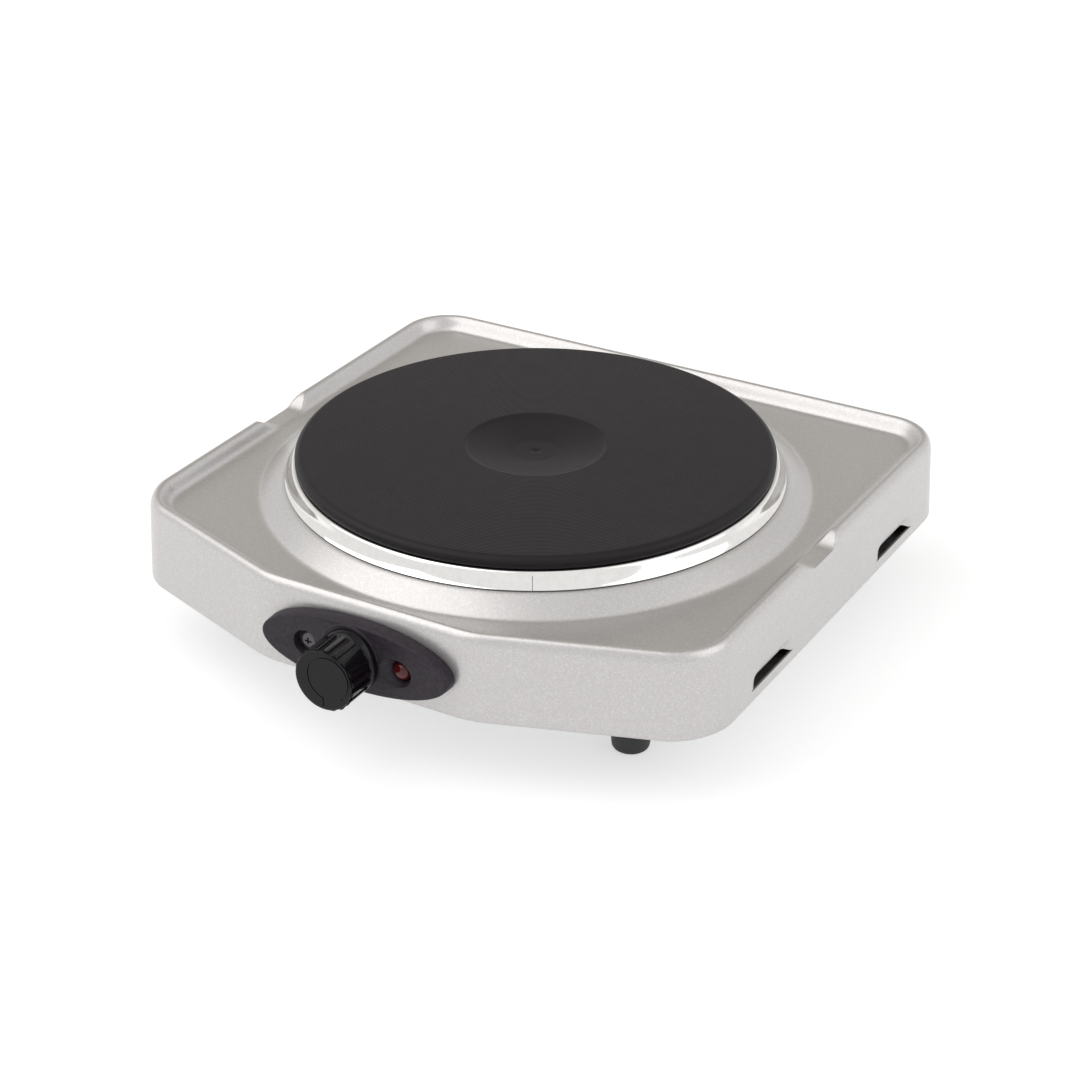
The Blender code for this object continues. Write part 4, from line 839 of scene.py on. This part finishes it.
def makeKnobMark(reach):
    # the engraved line on the knob's face: a wide arc off to one side, with a short tail at its lower end
    middleX, middleY = knob["markMiddle"]
    first, last = knob["markEnds"]
    inner, outer = knob["mark"] - knob["markWidth"] / 2, knob["mark"] + knob["markWidth"] / 2
    clearPick()
    bpy.ops.mesh.primitive_circle_add(vertices=180, radius=inner * mm,
                                      location=(middleX * mm, middleY * mm,
                                                (reach - knob["markDepth"]) * mm))
    cutter = editFresh("knobMark")
    pick("VERT", lambda place,
         vert: (math.degrees(math.atan2(place.y - middleY,
                                        place.x - middleX)) - first) % 360.0 > last - first)
    bpy.ops.mesh.delete(type="VERT")
    bpy.ops.mesh.select_all(action="SELECT")
    extrudeBy(0.0, 0.0, 0.0)
    scaleBy(outer / inner, outer / inner, 1.0, (middleX, middleY, 0.0))
    bpy.ops.mesh.select_all(action="SELECT")
    extrudeBy(0.0, 0.0, 1.0)
    toObjectMode()
    return cutter


def makeMarkTail(reach):
    angle = math.radians(knob["markEnds"][1])
    endX = knob["markMiddle"][0] + knob["mark"] * math.cos(angle)
    endY = knob["markMiddle"][1] + knob["mark"] * math.sin(angle)
    clearPick()
    bpy.ops.mesh.primitive_cube_add(size=1.0 * mm, location=(endX * mm, (endY - knob["markTail"] / 2) * mm,
                                                             reach * mm))
    cutter = editFresh("markTail")
    scaleBy(knob["markWidth"], knob["markTail"], 2.0 * knob["markDepth"],
            (endX, endY - knob["markTail"] / 2, reach))
    toObjectMode()
    return cutter


def makeKnob():
    back, reach = knob["back"], knob["reach"]
    root = knob["radius"] - knob["ribDepth"]
    face = knob["face"]
    sides = knob["ribs"] * 8
    profile = [(3.3, reach - 3.7), (3.3, back), (knob["collar"] - 0.3, back), (knob["collar"], back + 0.3),
               (knob["collar"] - 0.1, back + 2.6), (knob["collar"] - 0.4, back + 3.0),
               (root + 0.3, back + 3.3), (root, back + 3.6), (root, back + 4.2), (root, reach - 1.5),
               (face - 0.1, reach - 1.1), (face, reach - 0.8), (face, reach - 0.35),
               (face - 0.12, reach - 0.1), (face - 0.4, reach), (face - 1.0, reach)]
    piece = turnPiece("controlKnob", profile, sides)
    pickOnly(piece)
    bpy.ops.object.mode_set(mode="EDIT")
    pitch = 2.0 * math.pi / knob["ribs"]

    def onRib(place, face):
        share = (math.atan2(place.y, place.x) % pitch) / pitch
        return share < 0.5 and back + 4.0 < place.z < reach - 1.2 and math.hypot(place.x,
                                                                                 place.y) > root - 0.6

    def ribNumber(place):
        return int(math.atan2(place.y, place.x) % (2.0 * math.pi) / pitch)

    for rib in range(knob["ribs"]):
        pick("FACE", lambda place, face: onRib(place, face) and ribNumber(place) == rib)
        extrudeBy(0.0, 0.0, 0.0)
        outward = Vector((math.cos((rib + 0.25) * pitch), math.sin((rib + 0.25) * pitch),
                          0.0)) * knob["ribDepth"]
        moveBy(*outward)
    toObjectMode()
    tidyNormals(piece)
    bevelPiece(piece, 0.12, 2, 35.0)
    joinOrCut(piece, makeKnobMark(reach))
    joinOrCut(piece, makeMarkTail(reach))
    placePiece(piece, (knobX, frontY, knobZ), "front")
    finishPiece(piece, finishes["knob_plastic"], "control", ["control_knob"], 40.0)


def makeLamp():
    low, high = boxOf("pilot_lamp_lens")
    radius = (high.x - low.x) / 2
    front = frontY - low.y
    back = frontY - high.y
    profile = [(radius, back), (radius, front - 2.3), (0.97 * radius, front - 1.7),
               (0.88 * radius, front - 1.1), (0.72 * radius, front - 0.6), (0.5 * radius, front - 0.22),
               (0.25 * radius, front - 0.05), (0.06 * radius, front)]
    piece = turnPiece("pilotLens", profile, 48)
    tidyNormals(piece)
    place = middleOf("pilot_lamp_lens")
    placePiece(piece, (place.x, frontY, place.z), "front")
    finishPiece(piece, finishes["lamp_lens"], "housing", ["pilot_lamp_lens"], 60.0)


def crossRecess(piece, size, top, depth):
    # the cross cut in a screw's head, along +Z
    for turn in (0.0, math.pi / 2):
        clearPick()
        bpy.ops.mesh.primitive_cube_add(size=1.0 * mm, location=(0.0, 0.0, top * mm))
        slot = editFresh("slot")
        scaleBy(size, size * 0.2, 2.0 * depth, (0.0, 0.0, top))
        pick("FACE", lambda place, face: face.normal.z < -0.9)
        scaleBy(0.35, 0.6, 1.0, (0.0, 0.0, top - depth))
        pick("FACE", lambda place, face: True)
        bpy.ops.transform.rotate(value=turn, orient_axis="Z", center_override=(0.0, 0.0, 0.0))
        toObjectMode()
        joinOrCut(piece, slot)


def makePanelScrew():
    low, high = boxOf("bezel_screw")
    place = middleOf("bezel_screw")
    front = frontY - low.y
    back = frontY - high.y
    radius = (high.x - low.x) / 2
    profile = [(1.6, back), (1.6, front - 1.5), (radius, front - 1.5), (radius, front - 0.9),
               (0.95 * radius, front - 0.55), (0.8 * radius, front - 0.2), (0.6 * radius, front),
               (0.3 * radius, front)]
    piece = turnPiece("panelScrew", profile, 40)
    tidyNormals(piece)
    crossRecess(piece, 1.25 * radius, front, 0.9)
    placePiece(piece, (place.x, frontY, place.z), "front")
    # the screw gets the dark steel, which paints in the shade of its recess
    finishPiece(piece, finishes["blackened_steel"], "housing", ["bezel_screw"], 40.0)


makeBezel()
makeKnob()
makeLamp()
makePanelScrew()
print("control panel made")


# Feet, bored for their screws, and the cord bush

foot = {"top": 9.0, "bottom": 6.8, "bore": 2.2, "sink": 4.4, "sinkDepth": 19.0}


def makeFeet():
    top = boxOf("foot_front_left")[1].z
    wide, narrow = foot["top"], foot["bottom"]
    profile = [(wide - 0.4, top), (wide, top - 0.4), (wide - 0.05, top - 1.2), (narrow + 0.1, 2.2),
               (narrow - 0.05, 1.3), (narrow - 0.45, 0.55), (narrow - 1.0, 0.12), (narrow - 1.5, 0.0),
               (foot["sink"] + 0.3, 0.0), (foot["sink"], 0.3), (foot["sink"], foot["sinkDepth"]),
               (foot["bore"], foot["sinkDepth"]), (foot["bore"], top)]
    first = turnPiece("foot", profile, 64, (0.0, 0.0), "ring")
    tidyNormals(first)
    for corner in ("front_left", "front_right", "back_left", "back_right"):
        node = "foot_" + corner
        piece = copyPiece(first, "foot" + corner.title().replace("_", ""))
        place = middleOf(node)
        placePiece(piece, (place.x, place.y, 0.0))
        finishPiece(piece, finishes["rubber"], "housing", [node], 40.0)
    bpy.data.objects.remove(first)


def makeCordBush():
    low, high = boxOf("cord_gland")
    place = middleOf("cord_gland")
    back = high.y - backY
    inside = low.y - backY
    profile = [(7.0, inside), (7.0, 0.3), (9.2, 0.3), (9.5, 0.6), (9.5, 2.2), (9.1, 2.7), (7.9, 2.7),
               (7.6, 3.0), (7.55, 3.5), (6.9, 3.6), (6.9, 4.2), (7.4, 4.3), (7.3, 4.9), (6.6, 5.0),
               (6.6, 5.5), (7.1, 5.6), (6.9, back - 0.5), (6.4, back), (4.5, back), (4.0, back - 0.5),
               (4.0, inside)]
    piece = turnPiece("cordBush", profile, 64, (0.0, 0.0), "ring")
    tidyNormals(piece)
    placePiece(piece, (place.x, backY, place.z), "back")
    finishPiece(piece, finishes["rubber"], "housing", ["cord_gland"], 40.0)


makeFeet()
makeCordBush()
print("feet and bush made")


# Floor, lights and camera

stage = {"floorSize": 12.0, "floorGlow": 0.54, "worldStrength": 0.95, "backWall": (0.47, 0.435, 0.39),
         "cameraTurn": 30.03, "cameraTilt": 28.24, "cameraAway": 0.95958, "cameraLens": 83.89,
         "aim": (1.83, 0.0, 15.51)}


def makeFloor():
    clearPick()
    bpy.ops.mesh.primitive_plane_add(size=stage["floorSize"], location=(0.0, 0.0, -0.0002))
    floor = editFresh("floor")
    toObjectMode()
    finish, tree, shader, place = newFinish("floorWhite", 0.9)
    mottle = useGroup(tree, mottleGroup, place, Patch_Size=300.0, Contrast=0.4)
    tree.links.new(blendColours(tree, mottle.outputs["Tone"], (0.48, 0.48, 0.48), (0.50, 0.50, 0.50)),
                   shader.inputs["Base Color"])
    shader.inputs["Emission Color"].default_value = (1.0, 1.0, 1.0, 1.0)
    shader.inputs["Emission Strength"].default_value = stage["floorGlow"]
    floor.data.materials.append(finish)


def addLamp(name, power, size, place, aim, colour=(1.0, 1.0, 1.0)):
    light = bpy.data.lights.new(name, "AREA")
    light.energy = power
    light.shape = "RECTANGLE"
    light.size, light.size_y = size
    light.color = colour
    lamp = bpy.data.objects.new(name, light)
    bpy.context.scene.collection.objects.link(lamp)
    lamp.location = place
    lamp.rotation_euler = (Vector(aim) - Vector(place)).to_track_quat("-Z", "Y").to_euler()


def makeWorld():
    world = bpy.data.worlds.new("studio")
    world.use_nodes = True
    bpy.context.scene.world = world
    tree = world.node_tree
    # a white studio whose far wall, behind and over the object, is darker
    around = addNode(tree, "ShaderNodeTexCoord").outputs["Generated"]
    facing = addNode(tree, "ShaderNodeVectorMath", operation="DOT_PRODUCT")
    tree.links.new(around, facing.inputs[0])
    facing.inputs[1].default_value = Vector((-0.35, 0.62, 0.70)).normalized()
    wall = addNode(tree, "ShaderNodeMapRange")
    tree.links.new(facing.outputs["Value"], wall.inputs["Value"])
    wall.inputs["From Min"].default_value = 0.76
    wall.inputs["From Max"].default_value = 1.0
    back = tree.nodes["Background"]
    tree.links.new(blendColours(tree, wall.outputs["Result"], (1.0, 1.0, 1.0), stage["backWall"]),
                   back.inputs["Color"])
    back.inputs["Strength"].default_value = stage["worldStrength"]


def makeCamera():
    turn, tilt = math.radians(stage["cameraTurn"]), math.radians(stage["cameraTilt"])
    aim = (Vector(stage["aim"]) + Vector((0.0, plateY, datum))) * mm
    back = Vector((math.sin(turn) * math.cos(tilt), -math.cos(turn) * math.cos(tilt), math.sin(tilt)))
    camera = bpy.data.cameras.new("camera")
    camera.lens = stage["cameraLens"]
    camera.sensor_width = 36.0
    camera.clip_end = 50.0
    holder = bpy.data.objects.new("camera", camera)
    bpy.context.scene.collection.objects.link(holder)
    holder.location = aim + back * stage["cameraAway"]
    holder.rotation_euler = back.to_track_quat("Z", "Y").to_euler()
    bpy.context.scene.camera = holder


makeFloor()
makeWorld()
addLamp("keySoft", 16.0, (2.0, 2.0), (-0.9, -0.8, 1.5), (0.0, 0.0, 0.03))
addLamp("fillSoft", 5.0, (1.4, 1.4), (1.4, 0.2, 0.9), (0.0, 0.0, 0.03))
makeCamera()
bpy.context.scene.view_settings.view_transform = "Standard"
print("stage set")
